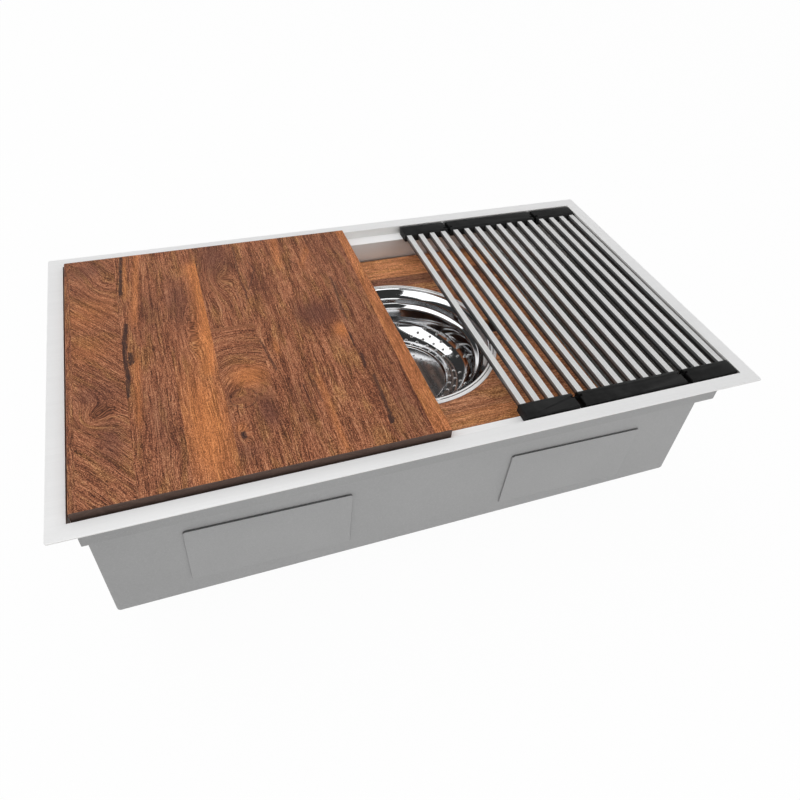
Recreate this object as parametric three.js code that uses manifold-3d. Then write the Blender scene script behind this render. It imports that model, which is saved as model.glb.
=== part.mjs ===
// A workstation kitchen sink: a welded stainless bowl with two pairs of ledges along its front and back,
// and the pieces that ride on them: a cutting board and a folding drying rack on the upper ledges, a
// wooden platform with a colander on the lower ledges. A basket strainer fills the drain.
// Millimetres. +X to the right, +Y to the back, +Z up. The origin is the centre of the rim's top face.
import * as THREE from "three";
import { mergeVertices } from "three/addons/utils/BufferGeometryUtils.js";
import Module from "manifold-3d";

// ---------------------------------------------------------------- driving dimensions
// Rim and bowl
const RIM_LENGTH = 838.2;
const RIM_DEPTH = 482.6;
const RIM_CORNER_RADIUS = 3;
const FLANGE_WIDTH = 19;
const SHEET = 1.5;
const UPPER_LEDGE_DROP = 12.5;
const UPPER_LEDGE_WIDTH = 19;
const LOWER_LEDGE_DROP = 62;
const LOWER_LEDGE_WIDTH = 20;
const BOWL_DEPTH = 233;
const BOWL_CORNER_RADIUS = 2.5;
const FLOOR_EDGE_RADIUS = 2.5;
const FLOOR_FALL = 5;
const DRAIN_X = 0;
const DRAIN_Y = 0;

// Sound pads on the outside of the lower bowl
const PAD_LENGTH = 200;
const PAD_HEIGHT = 98;
const PAD_THICKNESS = 2.5;
const PAD_CORNER_RADIUS = 3;
const PAD_DROP = 156;
const PAD_LEFT_INSET = 193;
const PAD_RIGHT_INSET = 188.5;
const PAD_RIGHT_EXTRA_DROP = 6;
const PAD_TILT_DEGREES = 1.5;
const END_PAD_LENGTH = 210;

// Basket strainer
const DRAIN_HOLE_RADIUS = 45;
const DRAIN_SEAT_RADIUS = 59;
const DRAIN_SEAT_DEPTH = 2.5;
const STRAINER_FLANGE_RADIUS = 57;
const STRAINER_WALL = 1.5;
const STRAINER_BODY_RADIUS = 43.5;
const STRAINER_BODY_DEPTH = 50;
const STRAINER_OUTLET_RADIUS = 19;
const STRAINER_OUTLET_LENGTH = 18;
const STRAINER_CONE_RISE = 13;
const STRAINER_SHOULDER = 8;
const GASKET_THICKNESS = 3;
const FRICTION_WASHER_THICKNESS = 1;
const LOCKNUT_HEIGHT = 11;
const LOCKNUT_RADIUS = 53;
const LOCKNUT_LUGS = 6;
const LOCKNUT_LUG_LENGTH = 5;
const BASKET_WALL = 0.9;
const BASKET_DEPTH = 33;
const BASKET_HOLE_RADIUS = 1.8;
const BASKET_HOLES_PER_RING = 12;
const STOPPER_RADIUS = 22;
const STOPPER_THICKNESS = 4;
const POST_RADIUS = 3;
const KNOB_RADIUS = 10;
const KNOB_HEIGHT = 9;

// Cutting board
const BOARD_LENGTH = 395;
const BOARD_SIDE_GAP = 4.3;
const BOARD_THICKNESS = 20;
const BOARD_END_GAP = 3;
const WOOD_CORNER_RADIUS = 3;
const WOOD_EDGE = 1.4;

// Colander platform
const PLATFORM_X = 21;
const PLATFORM_Y = -1.5;
const PLATFORM_LENGTH = 437;
const PLATFORM_SIDE_GAP = 2.5;
const PLATFORM_THICKNESS = 19.7;
const COLANDER_HOLE_CLEARANCE = 3;
const FINGER_NOTCH_WIDTH = 28;
const FINGER_NOTCH_REACH = 18;

// Colander
const COLANDER_LIP_RADIUS = 130;
const COLANDER_BEAD_RADIUS = 2.6;
const COLANDER_NECK_RADIUS = 118.5;
const COLANDER_DEPTH = 66;
const COLANDER_STEP_DEPTH = 17;
const COLANDER_STEP_WIDTH = 2.6;
const COLANDER_NECK_TAPER = 1.5;
const COLANDER_RIDGE_RADIUS = 68;
const COLANDER_RIDGE_HEIGHT = 2.5;
const COLANDER_SHEET = 0.9;
const COLANDER_FLOOR_RADIUS = 71.9;
const COLANDER_DRAIN_RADIUS = 1.8;
const COLANDER_BLOCKS = 5;
const COLANDER_BLOCK_START_DEGREES = 16.8;
const COLANDER_ROWS = 5;
const COLANDER_ROW_STEP_DEGREES = 12;
const COLANDER_RINGS = 5;
const COLANDER_LOWEST_RING_DEGREES = 77.9;
const COLANDER_RING_STEP_DEGREES = 10.6;
const COLANDER_LEAN_DEGREES = 4.9;
const COLANDER_FLOOR_RING_RADIUS = 50;
const COLANDER_FLOOR_RING_HOLES = 8;

// Folding drying rack
const ROD_SIZE = 8;
const ROD_EDGE = 0.8;
const ROD_PITCH = 19.25;
const ROD_DROP = 2;
const ROD_EMBED = 4;
const PANEL_RODS = { left: 4, middle: 8, right: 4 };
const RACK_END_MARGIN = 6.5;
const RACK_END_GAP = 0.6;
const FOLD_MARGIN = 8.2;
const FOLD_GROOVE = 5;
const BAR_WIDTH = 24.5;
const BAR_WALL_GAP = 3.5;
const BAR_RISE = 0;
const BAR_INNER_CHAMFER = 4.5;
const BAR_EDGE = 1.5;
const HINGE_DEPTH = 4.5;
const FOLDED_GAP = 1;
const LINK_RADIUS = 2.2;
const LINK_WIDTH = 3.2;
const LINK_Y_FROM_INNER_FACE = 7.4;
const HINGE_PIN_RADIUS = 1;
const HINGE_PIN_REACH = 1.6;

// Clearances
const SEAT_GAP = 0.3;
const RUNNING_GAP = 0.4;
const BASKET_FIT_GAP = 0.5;

// Facets on round forms
const BIG_ROUND = 32;
const SMALL_ROUND = 20;
const PIN_ROUND = 10;
const HOLE_SIDES = 4;

// ---------------------------------------------------------------- derived places
const BOWL_HALF_LENGTH = RIM_LENGTH / 2 - FLANGE_WIDTH;
const RIM_HALF_DEPTH = RIM_DEPTH / 2 - FLANGE_WIDTH;
const UPPER_HALF_DEPTH = RIM_HALF_DEPTH - UPPER_LEDGE_WIDTH;
const LOWER_HALF_DEPTH = UPPER_HALF_DEPTH - LOWER_LEDGE_WIDTH;
const BOARD_HALF_DEPTH = RIM_HALF_DEPTH - BOARD_SIDE_GAP;
const PLATFORM_HALF_DEPTH = UPPER_HALF_DEPTH - PLATFORM_SIDE_GAP;
const DRAIN_SEAT_Z = -(BOWL_DEPTH + FLOOR_FALL + DRAIN_SEAT_DEPTH);
const STRAINER_FLANGE_TOP = DRAIN_SEAT_Z + SEAT_GAP + STRAINER_WALL;
const PLATFORM_BOTTOM = -LOWER_LEDGE_DROP + SEAT_GAP;
const PLATFORM_TOP = PLATFORM_BOTTOM + PLATFORM_THICKNESS;
const COLANDER_HOLE_RADIUS = COLANDER_NECK_RADIUS + COLANDER_SHEET + COLANDER_HOLE_CLEARANCE;
const COLANDER_STEP_RADIUS = COLANDER_NECK_RADIUS - COLANDER_NECK_TAPER - COLANDER_STEP_WIDTH;
const COLANDER_WALL_REACH = COLANDER_STEP_RADIUS - COLANDER_FLOOR_RADIUS;
const BAR_OUTER = RIM_HALF_DEPTH - BAR_WALL_GAP;
const BAR_INNER = BAR_OUTER - BAR_WIDTH;
const BAR_BOTTOM = -UPPER_LEDGE_DROP + SEAT_GAP;
const BAR_TOP = BAR_RISE;
const ROD_TOP = BAR_TOP - ROD_DROP;
const LINK_PITCH = 2 * HINGE_DEPTH + FOLDED_GAP;
const LINK_Y = BAR_INNER + LINK_Y_FROM_INNER_FACE;
const LINK_SLOT_WIDTH = LINK_WIDTH + 2 * SEAT_GAP;
const LINK_SLOT_RADIUS = LINK_RADIUS + RUNNING_GAP;

const wasm = await Module();
wasm.setup();

// ---------------------------------------------------------------- solid helpers
function solidOf(geometry) {
  const bare = geometry.index ? geometry.toNonIndexed() : geometry.clone();
  bare.deleteAttribute("normal");
  bare.deleteAttribute("uv");
  const merged = mergeVertices(bare, 1e-4);
  return new wasm.Manifold(
    new wasm.Mesh({
      numProp: 3,
      vertProperties: new Float32Array(merged.attributes.position.array),
      triVerts: new Uint32Array(merged.index.array),
    }),
  );
}

function geometryOf(solid) {
  const mesh = solid.getMesh();
  const points = new Float32Array(mesh.numVert * 3);
  for (let i = 0; i < mesh.numVert; i++) {
    points.set(mesh.vertProperties.subarray(i * mesh.numProp, i * mesh.numProp + 3), i * 3);
  }
  const indexed = new THREE.BufferGeometry();
  indexed.setAttribute("position", new THREE.BufferAttribute(points, 3));
  indexed.setIndex(new THREE.BufferAttribute(mesh.triVerts, 1));
  const flat = indexed.toNonIndexed();
  flat.computeVertexNormals();
  return flat;
}

function boxBetween(low, high, turnDegrees = 0) {
  const [lx, ly, lz] = low;
  const [hx, hy, hz] = high;
  const geometry = new THREE.BoxGeometry(hx - lx, hy - ly, hz - lz);
  geometry.translate((lx + hx) / 2, (ly + hy) / 2, (lz + hz) / 2);
  geometry.rotateZ(THREE.MathUtils.degToRad(turnDegrees));
  return solidOf(geometry);
}

function outlineOf(points) {
  return new THREE.Shape(points.map(([a, b]) => new THREE.Vector2(a, b)));
}

// A profile in the YZ plane, run along X from one end to the other.
function prismAlongX(points, fromX, toX) {
  const geometry = new THREE.ExtrudeGeometry(outlineOf(points), { depth: toX - fromX, bevelEnabled: false });
  const turn = new THREE.Matrix4().makeBasis(
    new THREE.Vector3(0, 1, 0),
    new THREE.Vector3(0, 0, 1),
    new THREE.Vector3(1, 0, 0),
  );
  geometry.applyMatrix4(turn);
  geometry.translate(fromX, 0, 0);
  return solidOf(geometry);
}

// A profile in the XZ plane, run along Y from one side to the other.
function prismAlongY(points, fromY, toY) {
  const geometry = new THREE.ExtrudeGeometry(outlineOf(points), { depth: toY - fromY, bevelEnabled: false });
  const turn = new THREE.Matrix4().makeBasis(
    new THREE.Vector3(1, 0, 0),
    new THREE.Vector3(0, 0, 1),
    new THREE.Vector3(0, -1, 0),
  );
  geometry.applyMatrix4(turn);
  geometry.translate(0, toY, 0);
  return solidOf(geometry);
}

// A round bar along Y.
function pinAlongY(x, z, radius, fromY, toY) {
  const geometry = new THREE.CylinderGeometry(radius, radius, toY - fromY, PIN_ROUND);
  geometry.translate(x, (fromY + toY) / 2, z);
  return solidOf(geometry);
}

function roundedRectangle(halfX, halfY, radius) {
  const shape = new THREE.Shape();
  shape.moveTo(-halfX + radius, -halfY);
  shape.lineTo(halfX - radius, -halfY);
  shape.absarc(halfX - radius, -halfY + radius, radius, -Math.PI / 2, 0, false);
  shape.lineTo(halfX, halfY - radius);
  shape.absarc(halfX - radius, halfY - radius, radius, 0, Math.PI / 2, false);
  shape.lineTo(-halfX + radius, halfY);
  shape.absarc(-halfX + radius, halfY - radius, radius, Math.PI / 2, Math.PI, false);
  shape.lineTo(-halfX, -halfY + radius);
  shape.absarc(-halfX + radius, -halfY + radius, radius, Math.PI, 1.5 * Math.PI, false);
  return shape;
}

// A slab with round corners and eased edges, from its underside up.
function easedSlab(shape, bottom, thickness, edge) {
  const geometry = new THREE.ExtrudeGeometry(shape, {
    depth: thickness - 2 * edge,
    bevelEnabled: true,
    bevelThickness: edge,
    bevelSize: edge,
    bevelOffset: -edge,
    bevelSegments: 2,
    curveSegments: 3,
  });
  geometry.translate(0, 0, bottom + edge);
  return solidOf(geometry);
}

// A closed profile of [radius, z] points turned about the Z axis. The profile runs counter-clockwise.
function turned(profile, segments) {
  const points = profile.map(([r, z]) => new THREE.Vector2(r, z));
  points.push(points[0].clone());
  const geometry = new THREE.LatheGeometry(points, segments);
  geometry.rotateX(Math.PI / 2);
  return solidOf(geometry);
}

function disc(radius, fromZ, toZ, segments, x = 0, y = 0) {
  const geometry = new THREE.CylinderGeometry(radius, radius, toZ - fromZ, segments);
  geometry.rotateX(Math.PI / 2);
  geometry.translate(x, y, (fromZ + toZ) / 2);
  return solidOf(geometry);
}

// A round-cornered tray form: straight sides, a rounded lower edge, and a floor that falls to one point.
function trayForm(halfX, halfY, cornerRadius, edgeRadius, top, floor, fall) {
  const cornerSteps = 2;
  const edgeSteps = 2;
  const rings = [{ inset: 0, z: top }];
  for (let i = 0; i <= edgeSteps; i++) {
    const turn = (i / edgeSteps) * (Math.PI / 2);
    rings.push({
      inset: edgeRadius * (1 - Math.cos(turn)),
      z: floor + edgeRadius * (1 - Math.sin(turn)),
    });
  }
  const corners = [
    [1, -1, -Math.PI / 2],
    [1, 1, 0],
    [-1, 1, Math.PI / 2],
    [-1, -1, Math.PI],
  ];
  const loops = rings.map(({ inset, z }) => {
    const radius = Math.max(cornerRadius - inset, 0.5);
    const loop = [];
    for (const [sx, sy, start] of corners) {
      const cx = sx * (halfX - inset - radius);
      const cy = sy * (halfY - inset - radius);
      for (let i = 0; i <= cornerSteps; i++) {
        const a = start + (i / cornerSteps) * (Math.PI / 2);
        loop.push([cx + radius * Math.cos(a), cy + radius * Math.sin(a), z]);
      }
    }
    return loop;
  });
  const count = loops[0].length;
  const points = loops.flat();
  const faces = [];
  for (let ring = 0; ring + 1 < loops.length; ring++) {
    for (let i = 0; i < count; i++) {
      const a = ring * count + i;
      const b = ring * count + ((i + 1) % count);
      faces.push([a, a + count, b], [b, a + count, b + count]);
    }
  }
  const lid = points.push([0, 0, top]) - 1;
  const sump = points.push([DRAIN_X, DRAIN_Y, floor - fall]) - 1;
  const last = (loops.length - 1) * count;
  for (let i = 0; i < count; i++) {
    const next = (i + 1) % count;
    faces.push([lid, i, next], [sump, last + next, last + i]);
  }
  const geometry = new THREE.BufferGeometry();
  geometry.setAttribute("position", new THREE.Float32BufferAttribute(points.flat(), 3));
  geometry.setIndex(faces.flat());
  return solidOf(geometry);
}

// ---------------------------------------------------------------- materials
function finish(color, roughness, metalness) {
  return new THREE.MeshStandardMaterial({ color, roughness, metalness });
}

const brushedSteel = () => finish(0xd6d7d8, 0.35, 1);
const satinRod = () => finish(0xcfcfce, 0.4, 1);
const mirrorSteel = () => finish(0xe2e3e5, 0.08, 1);
const greyCoating = () => finish(0x8c8c8b, 0.85, 0);
const redBrownWood = () => finish(0x7a4a30, 0.5, 0);
const orangeWood = () => finish(0x9a5f38, 0.5, 0);
const blackSilicone = () => finish(0x1f1f20, 0.7, 0);
const blackRubber = () => finish(0x17171a, 0.8, 0);
const fibreBoard = () => finish(0xb9a98a, 0.9, 0);

const sink = new THREE.Group();

// A shape is a three.js geometry or a solid that was joined or cut.
function place(name, shape, material, x = 0, y = 0, z = 0) {
  const geometry = shape.isBufferGeometry ? shape : geometryOf(shape);
  const mesh = new THREE.Mesh(geometry, material);
  mesh.name = name;
  mesh.position.set(x, y, z);
  sink.add(mesh);
  return mesh;
}

// ---------------------------------------------------------------- welded bowl
function sinkShell() {
  const flange = new THREE.ExtrudeGeometry(
    roundedRectangle(RIM_LENGTH / 2, RIM_DEPTH / 2, RIM_CORNER_RADIUS),
    { depth: SHEET, bevelEnabled: false, curveSegments: 4 },
  );
  flange.translate(0, 0, -SHEET);
  const seatPlace = [SMALL_ROUND, DRAIN_X, DRAIN_Y];
  const tier = (halfDepth, top, bottom, wall) =>
    boxBetween(
      [-BOWL_HALF_LENGTH - wall, -halfDepth - wall, bottom],
      [BOWL_HALF_LENGTH + wall, halfDepth + wall, top],
    );
  const outside = solidOf(flange)
    .add(tier(RIM_HALF_DEPTH, -SHEET / 2, -UPPER_LEDGE_DROP - SHEET, SHEET))
    .add(tier(UPPER_HALF_DEPTH, -UPPER_LEDGE_DROP, -LOWER_LEDGE_DROP - SHEET, SHEET))
    .add(
      trayForm(
        BOWL_HALF_LENGTH + SHEET,
        LOWER_HALF_DEPTH + SHEET,
        BOWL_CORNER_RADIUS + SHEET,
        FLOOR_EDGE_RADIUS + SHEET,
        -LOWER_LEDGE_DROP - SHEET / 2,
        -BOWL_DEPTH - SHEET,
        FLOOR_FALL,
      ),
    )
    .add(disc(DRAIN_SEAT_RADIUS + SHEET, DRAIN_SEAT_Z - SHEET, -BOWL_DEPTH - SHEET, ...seatPlace));
  const inside = tier(RIM_HALF_DEPTH, SHEET, -UPPER_LEDGE_DROP, 0)
    .add(tier(UPPER_HALF_DEPTH, 0, -LOWER_LEDGE_DROP, 0))
    .add(
      trayForm(
        BOWL_HALF_LENGTH,
        LOWER_HALF_DEPTH,
        BOWL_CORNER_RADIUS,
        FLOOR_EDGE_RADIUS,
        0,
        -BOWL_DEPTH,
        FLOOR_FALL,
      ),
    )
    .add(disc(DRAIN_SEAT_RADIUS, DRAIN_SEAT_Z, -BOWL_DEPTH, ...seatPlace));
  const drainHole = disc(DRAIN_HOLE_RADIUS, 2 * DRAIN_SEAT_Z, -BOWL_DEPTH, ...seatPlace);
  return outside.subtract(inside).subtract(drainHole);
}

// A rubber sound pad, lying in its own XY plane with its back at z = 0.
function soundPad(length, height) {
  return new THREE.ExtrudeGeometry(roundedRectangle(length / 2, height / 2, PAD_CORNER_RADIUS), {
    depth: PAD_THICKNESS,
    bevelEnabled: false,
    curveSegments: 2,
  });
}

function addSoundPads() {
  const tilt = THREE.MathUtils.degToRad(PAD_TILT_DEGREES);
  const offset = LOWER_HALF_DEPTH + SHEET + SEAT_GAP;
  const sides = [
    { side: "front", turn: 0, y: -offset },
    { side: "back", turn: Math.PI, y: offset },
  ];
  for (const { side, turn, y } of sides) {
    const places = [
      { end: "left", x: PAD_LEFT_INSET - BOWL_HALF_LENGTH, z: -PAD_DROP },
      { end: "right", x: BOWL_HALF_LENGTH - PAD_RIGHT_INSET, z: -PAD_DROP - PAD_RIGHT_EXTRA_DROP },
    ];
    for (const { end, x, z } of places) {
      const pad = place(`sound_pad_${side}_${end}`, soundPad(PAD_LENGTH, PAD_HEIGHT), greyCoating(), x, y, z);
      pad.rotation.set(Math.PI / 2, 0, turn, "ZXY");
      pad.rotateZ(-tilt);
    }
  }
  const ends = [
    { end: "left", turn: -Math.PI / 2, x: -BOWL_HALF_LENGTH - SHEET - SEAT_GAP },
    { end: "right", turn: Math.PI / 2, x: BOWL_HALF_LENGTH + SHEET + SEAT_GAP },
  ];
  for (const { end, turn, x } of ends) {
    const pad = place(`sound_pad_${end}_end`, soundPad(END_PAD_LENGTH, PAD_HEIGHT), greyCoating(), x, 0, -PAD_DROP);
    pad.rotation.set(Math.PI / 2, 0, turn, "ZXY");
  }
}

// ---------------------------------------------------------------- basket strainer
function strainerBody() {
  const outer = STRAINER_BODY_RADIUS;
  const inner = outer - STRAINER_WALL;
  const top = STRAINER_FLANGE_TOP;
  const under = top - STRAINER_WALL;
  const low = top - STRAINER_BODY_DEPTH;
  const end = low - STRAINER_OUTLET_LENGTH;
  return turned(
    [
      [inner, top],
      [inner, low + STRAINER_CONE_RISE],
      [STRAINER_OUTLET_RADIUS + STRAINER_SHOULDER - STRAINER_WALL, low],
      [STRAINER_OUTLET_RADIUS - STRAINER_WALL, low - STRAINER_WALL],
      [STRAINER_OUTLET_RADIUS - STRAINER_WALL, end],
      [STRAINER_OUTLET_RADIUS, end],
      [STRAINER_OUTLET_RADIUS, low - 2.5 * STRAINER_WALL],
      [STRAINER_OUTLET_RADIUS + STRAINER_SHOULDER, low - STRAINER_WALL],
      [outer, low + STRAINER_CONE_RISE - STRAINER_WALL / 2],
      [outer, under],
      [STRAINER_FLANGE_RADIUS, under],
      [STRAINER_FLANGE_RADIUS, under + STRAINER_WALL / 3],
      [STRAINER_FLANGE_RADIUS - STRAINER_WALL, top],
    ],
    BIG_ROUND,
  );
}

function ring(innerRadius, outerRadius, fromZ, toZ, segments) {
  return turned(
    [
      [innerRadius, fromZ],
      [outerRadius, fromZ],
      [outerRadius, toZ],
      [innerRadius, toZ],
    ],
    segments,
  );
}

function locknut(fromZ, toZ) {
  let nut = ring(STRAINER_BODY_RADIUS + 2 * SEAT_GAP, LOCKNUT_RADIUS, fromZ, toZ, SMALL_ROUND);
  for (let i = 0; i < LOCKNUT_LUGS; i++) {
    const lug = boxBetween(
      [LOCKNUT_RADIUS - 2, -3.5, fromZ],
      [LOCKNUT_RADIUS + LOCKNUT_LUG_LENGTH, 3.5, toZ],
      (360 * i) / LOCKNUT_LUGS,
    );
    nut = nut.add(lug);
  }
  return nut;
}

function strainerBasket(rimRadius, top) {
  const floorRadius = rimRadius - 8;
  const bottom = top - BASKET_DEPTH;
  const wall = BASKET_WALL;
  let cup = turned(
    [
      [POST_RADIUS + SEAT_GAP, bottom - wall],
      [floorRadius - 2, bottom - wall],
      [floorRadius + wall, bottom + 2],
      [rimRadius - 2, top - 2.5],
      [rimRadius, top - 1.2],
      [rimRadius, top],
      [rimRadius - 3, top - wall],
      [floorRadius - 1, bottom + 3],
      [floorRadius - 3, bottom],
      [POST_RADIUS + SEAT_GAP, bottom],
    ],
    SMALL_ROUND,
  );
  const rings = [
    { radius: floorRadius - 7, count: BASKET_HOLES_PER_RING },
    { radius: floorRadius - 14, count: BASKET_HOLES_PER_RING * 0.75 },
  ];
  for (const { radius, count } of rings) {
    for (let i = 0; i < count; i++) {
      const a = (2 * Math.PI * (i + 0.5)) / count;
      const place = [radius * Math.cos(a), radius * Math.sin(a)];
      cup = cup.subtract(disc(BASKET_HOLE_RADIUS, bottom - 3, bottom + 3, HOLE_SIDES, ...place));
    }
  }
  return cup;
}

function basketPost(fromZ, top) {
  return turned(
    [
      [0, fromZ],
      [POST_RADIUS, fromZ],
      [POST_RADIUS, top - KNOB_HEIGHT],
      [KNOB_RADIUS * 0.75, top - KNOB_HEIGHT],
      [KNOB_RADIUS, top - KNOB_HEIGHT + 2.5],
      [KNOB_RADIUS, top - 2.5],
      [KNOB_RADIUS * 0.8, top],
      [0, top],
    ],
    SMALL_ROUND,
  );
}

function addStrainer() {
  const at = [DRAIN_X, DRAIN_Y, 0];
  const underSheet = DRAIN_SEAT_Z - SHEET;
  const gasketTop = underSheet - SEAT_GAP;
  const washerTop = gasketTop - GASKET_THICKNESS - SEAT_GAP;
  const nutTop = washerTop - FRICTION_WASHER_THICKNESS - SEAT_GAP;
  const bore = STRAINER_BODY_RADIUS + 2 * SEAT_GAP;
  const rimRadius = STRAINER_BODY_RADIUS - STRAINER_WALL - BASKET_FIT_GAP;
  const basketTop = STRAINER_FLANGE_TOP - 2;
  const basketFloor = basketTop - BASKET_DEPTH - BASKET_WALL;
  const stopperTop = basketFloor - SEAT_GAP;
  place("strainer_body", strainerBody(), mirrorSteel(), ...at);
  place(
    "strainer_gasket",
    ring(bore, STRAINER_FLANGE_RADIUS, gasketTop - GASKET_THICKNESS, gasketTop, SMALL_ROUND),
    blackRubber(),
    ...at,
  );
  place(
    "strainer_friction_washer",
    ring(bore, STRAINER_FLANGE_RADIUS - 1, washerTop - FRICTION_WASHER_THICKNESS, washerTop, SMALL_ROUND),
    fibreBoard(),
    ...at,
  );
  place("strainer_locknut", locknut(nutTop - LOCKNUT_HEIGHT, nutTop), brushedSteel(), ...at);
  place("strainer_basket", strainerBasket(rimRadius, basketTop), mirrorSteel(), ...at);
  place(
    "strainer_stopper",
    ring(POST_RADIUS + SEAT_GAP, STOPPER_RADIUS, stopperTop - STOPPER_THICKNESS, stopperTop, SMALL_ROUND),
    blackRubber(),
    ...at,
  );
  place(
    "strainer_post",
    basketPost(stopperTop - STOPPER_THICKNESS - 1, basketTop + 4),
    mirrorSteel(),
    ...at,
  );
}

// ---------------------------------------------------------------- boards on the ledges
function cuttingBoard() {
  const outline = roundedRectangle(BOARD_LENGTH / 2, BOARD_HALF_DEPTH, WOOD_CORNER_RADIUS);
  return easedSlab(outline, -UPPER_LEDGE_DROP + SEAT_GAP, BOARD_THICKNESS, WOOD_EDGE);
}

function colanderPlatform() {
  const outline = roundedRectangle(PLATFORM_LENGTH / 2, PLATFORM_HALF_DEPTH, WOOD_CORNER_RADIUS);
  const slab = easedSlab(outline, PLATFORM_BOTTOM, PLATFORM_THICKNESS, WOOD_EDGE);
  const below = PLATFORM_BOTTOM - 1;
  const above = PLATFORM_TOP + 1;
  const notchEnd = COLANDER_HOLE_RADIUS + FINGER_NOTCH_REACH;
  const notches = boxBetween(
    [-notchEnd, -FINGER_NOTCH_WIDTH / 2, below],
    [notchEnd, FINGER_NOTCH_WIDTH / 2, above],
  );
  return slab.subtract(disc(COLANDER_HOLE_RADIUS, below, above, BIG_ROUND)).subtract(notches);
}

// Where a ring of holes lies on the wall's quarter arc, from 0 at its top to a right angle at the
// floor. The rings are numbered from the lowest up.
function ringTurn(ring) {
  const degrees = COLANDER_LOWEST_RING_DEGREES - ring * COLANDER_RING_STEP_DEGREES;
  return THREE.MathUtils.degToRad(degrees);
}

function ringRadius(ring) {
  return COLANDER_FLOOR_RADIUS + COLANDER_WALL_REACH * Math.cos(ringTurn(ring));
}

// The spun bowl's inner face, from the neck down to the centre, as [radius, depth below the lip].
function colanderInnerFace() {
  const wallTop = COLANDER_STEP_DEPTH + COLANDER_STEP_WIDTH;
  const wallHeight = COLANDER_DEPTH - wallTop;
  const face = [
    [COLANDER_NECK_RADIUS, COLANDER_SHEET],
    [COLANDER_NECK_RADIUS - COLANDER_NECK_TAPER, COLANDER_STEP_DEPTH],
    [COLANDER_STEP_RADIUS, wallTop],
  ];
  for (let ring = COLANDER_RINGS - 0.5; ring >= -0.5; ring--) {
    face.push([ringRadius(ring), wallTop + wallHeight * Math.sin(ringTurn(ring))]);
  }
  face.push(
    [COLANDER_FLOOR_RADIUS, COLANDER_DEPTH],
    [COLANDER_RIDGE_RADIUS + COLANDER_RIDGE_HEIGHT, COLANDER_DEPTH],
    [COLANDER_RIDGE_RADIUS, COLANDER_DEPTH - COLANDER_RIDGE_HEIGHT],
    [COLANDER_RIDGE_RADIUS - COLANDER_RIDGE_HEIGHT, COLANDER_DEPTH],
    [0, COLANDER_DEPTH],
  );
  return face;
}

// The inner face's depth and slope at one radius.
function colanderWallAt(radius) {
  const face = colanderInnerFace();
  const after = face.findIndex(([r], i) => i > 0 && r <= radius);
  const [r0, depth0] = face[after - 1];
  const [r1, depth1] = face[after];
  const part = (radius - r0) / (r1 - r0);
  return { depth: depth0 + part * (depth1 - depth0), slope: Math.atan2(depth1 - depth0, r0 - r1) };
}

// Slim prisms that stand square to the wall, one for each drain hole.
function colanderHoles() {
  const places = [];
  for (let block = 0; block < COLANDER_BLOCKS; block++) {
    const start = COLANDER_BLOCK_START_DEGREES + (360 * block) / COLANDER_BLOCKS;
    for (let ring = 0; ring < COLANDER_RINGS; ring++) {
      for (let row = 0; row < COLANDER_ROWS; row++) {
        const degrees = start + COLANDER_ROW_STEP_DEGREES * row - COLANDER_LEAN_DEGREES * ring;
        places.push([ringRadius(ring), degrees]);
      }
    }
  }
  for (let i = 0; i < COLANDER_FLOOR_RING_HOLES; i++) {
    places.push([COLANDER_FLOOR_RING_RADIUS, (360 * (i + 0.5)) / COLANDER_FLOOR_RING_HOLES]);
  }
  const size = COLANDER_DRAIN_RADIUS;
  const reach = 6 * COLANDER_SHEET;
  return places.map(([radius, degrees]) => {
    const { depth, slope } = colanderWallAt(radius);
    const cutter = new THREE.CylinderGeometry(size, size, reach, HOLE_SIDES);
    cutter.rotateX(Math.PI / 2);
    cutter.rotateY(-slope);
    cutter.translate(radius, 0, SEAT_GAP + COLANDER_SHEET / 2 - depth);
    cutter.rotateZ(THREE.MathUtils.degToRad(degrees));
    return solidOf(cutter);
  });
}

function colander() {
  const seat = SEAT_GAP;
  const bead = COLANDER_BEAD_RADIUS;
  const lip = COLANDER_LIP_RADIUS;
  const inner = colanderInnerFace().map(([r, depth]) => [r, seat + COLANDER_SHEET - depth]);
  const outer = inner.map(([r, z], i) => {
    const before = inner[Math.max(i - 1, 0)];
    const after = inner[Math.min(i + 1, inner.length - 1)];
    const dr = after[0] - before[0];
    const dz = after[1] - before[1];
    const size = Math.hypot(dr, dz);
    const shift = [(-dz / size) * COLANDER_SHEET, (dr / size) * COLANDER_SHEET];
    return r === 0 ? [0, z - COLANDER_SHEET] : [r + shift[0], z + shift[1]];
  });
  const rim = [];
  const beadSteps = 4;
  for (let i = 0; i <= beadSteps; i++) {
    const turn = (i / beadSteps) * Math.PI;
    rim.push([lip - bead + bead * Math.cos(turn), seat + bead * (0.15 + Math.sin(turn))]);
  }
  const profile = [
    [lip, seat],
    ...rim,
    [lip - 2.3 * bead, seat + COLANDER_SHEET],
    [COLANDER_NECK_RADIUS + 2 * COLANDER_SHEET, seat + 1.8 * COLANDER_SHEET],
    ...inner,
    ...outer.reverse().slice(0, -1),
    [COLANDER_NECK_RADIUS + COLANDER_SHEET, seat],
  ];
  return colanderHoles().reduce((bowl, hole) => bowl.subtract(hole), turned(profile, BIG_ROUND));
}

// ---------------------------------------------------------------- folding drying rack
// Each panel's span and rod places along X, from the right-hand wall back to the left.
function rackLayout() {
  const inset = { left: [RACK_END_MARGIN, FOLD_MARGIN], middle: [FOLD_MARGIN, FOLD_MARGIN] };
  inset.right = [FOLD_MARGIN, RACK_END_MARGIN];
  const panels = {};
  let end = BOWL_HALF_LENGTH - RACK_END_GAP;
  for (const side of ["right", "middle", "left"]) {
    const count = PANEL_RODS[side];
    const length = inset[side][0] + (count - 1) * ROD_PITCH + inset[side][1];
    const start = end - length;
    const rods = Array.from({ length: count }, (_, i) => start + inset[side][0] + i * ROD_PITCH);
    panels[side] = { start, end, rods };
    end = start - FOLD_GROOVE;
  }
  return panels;
}

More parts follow.
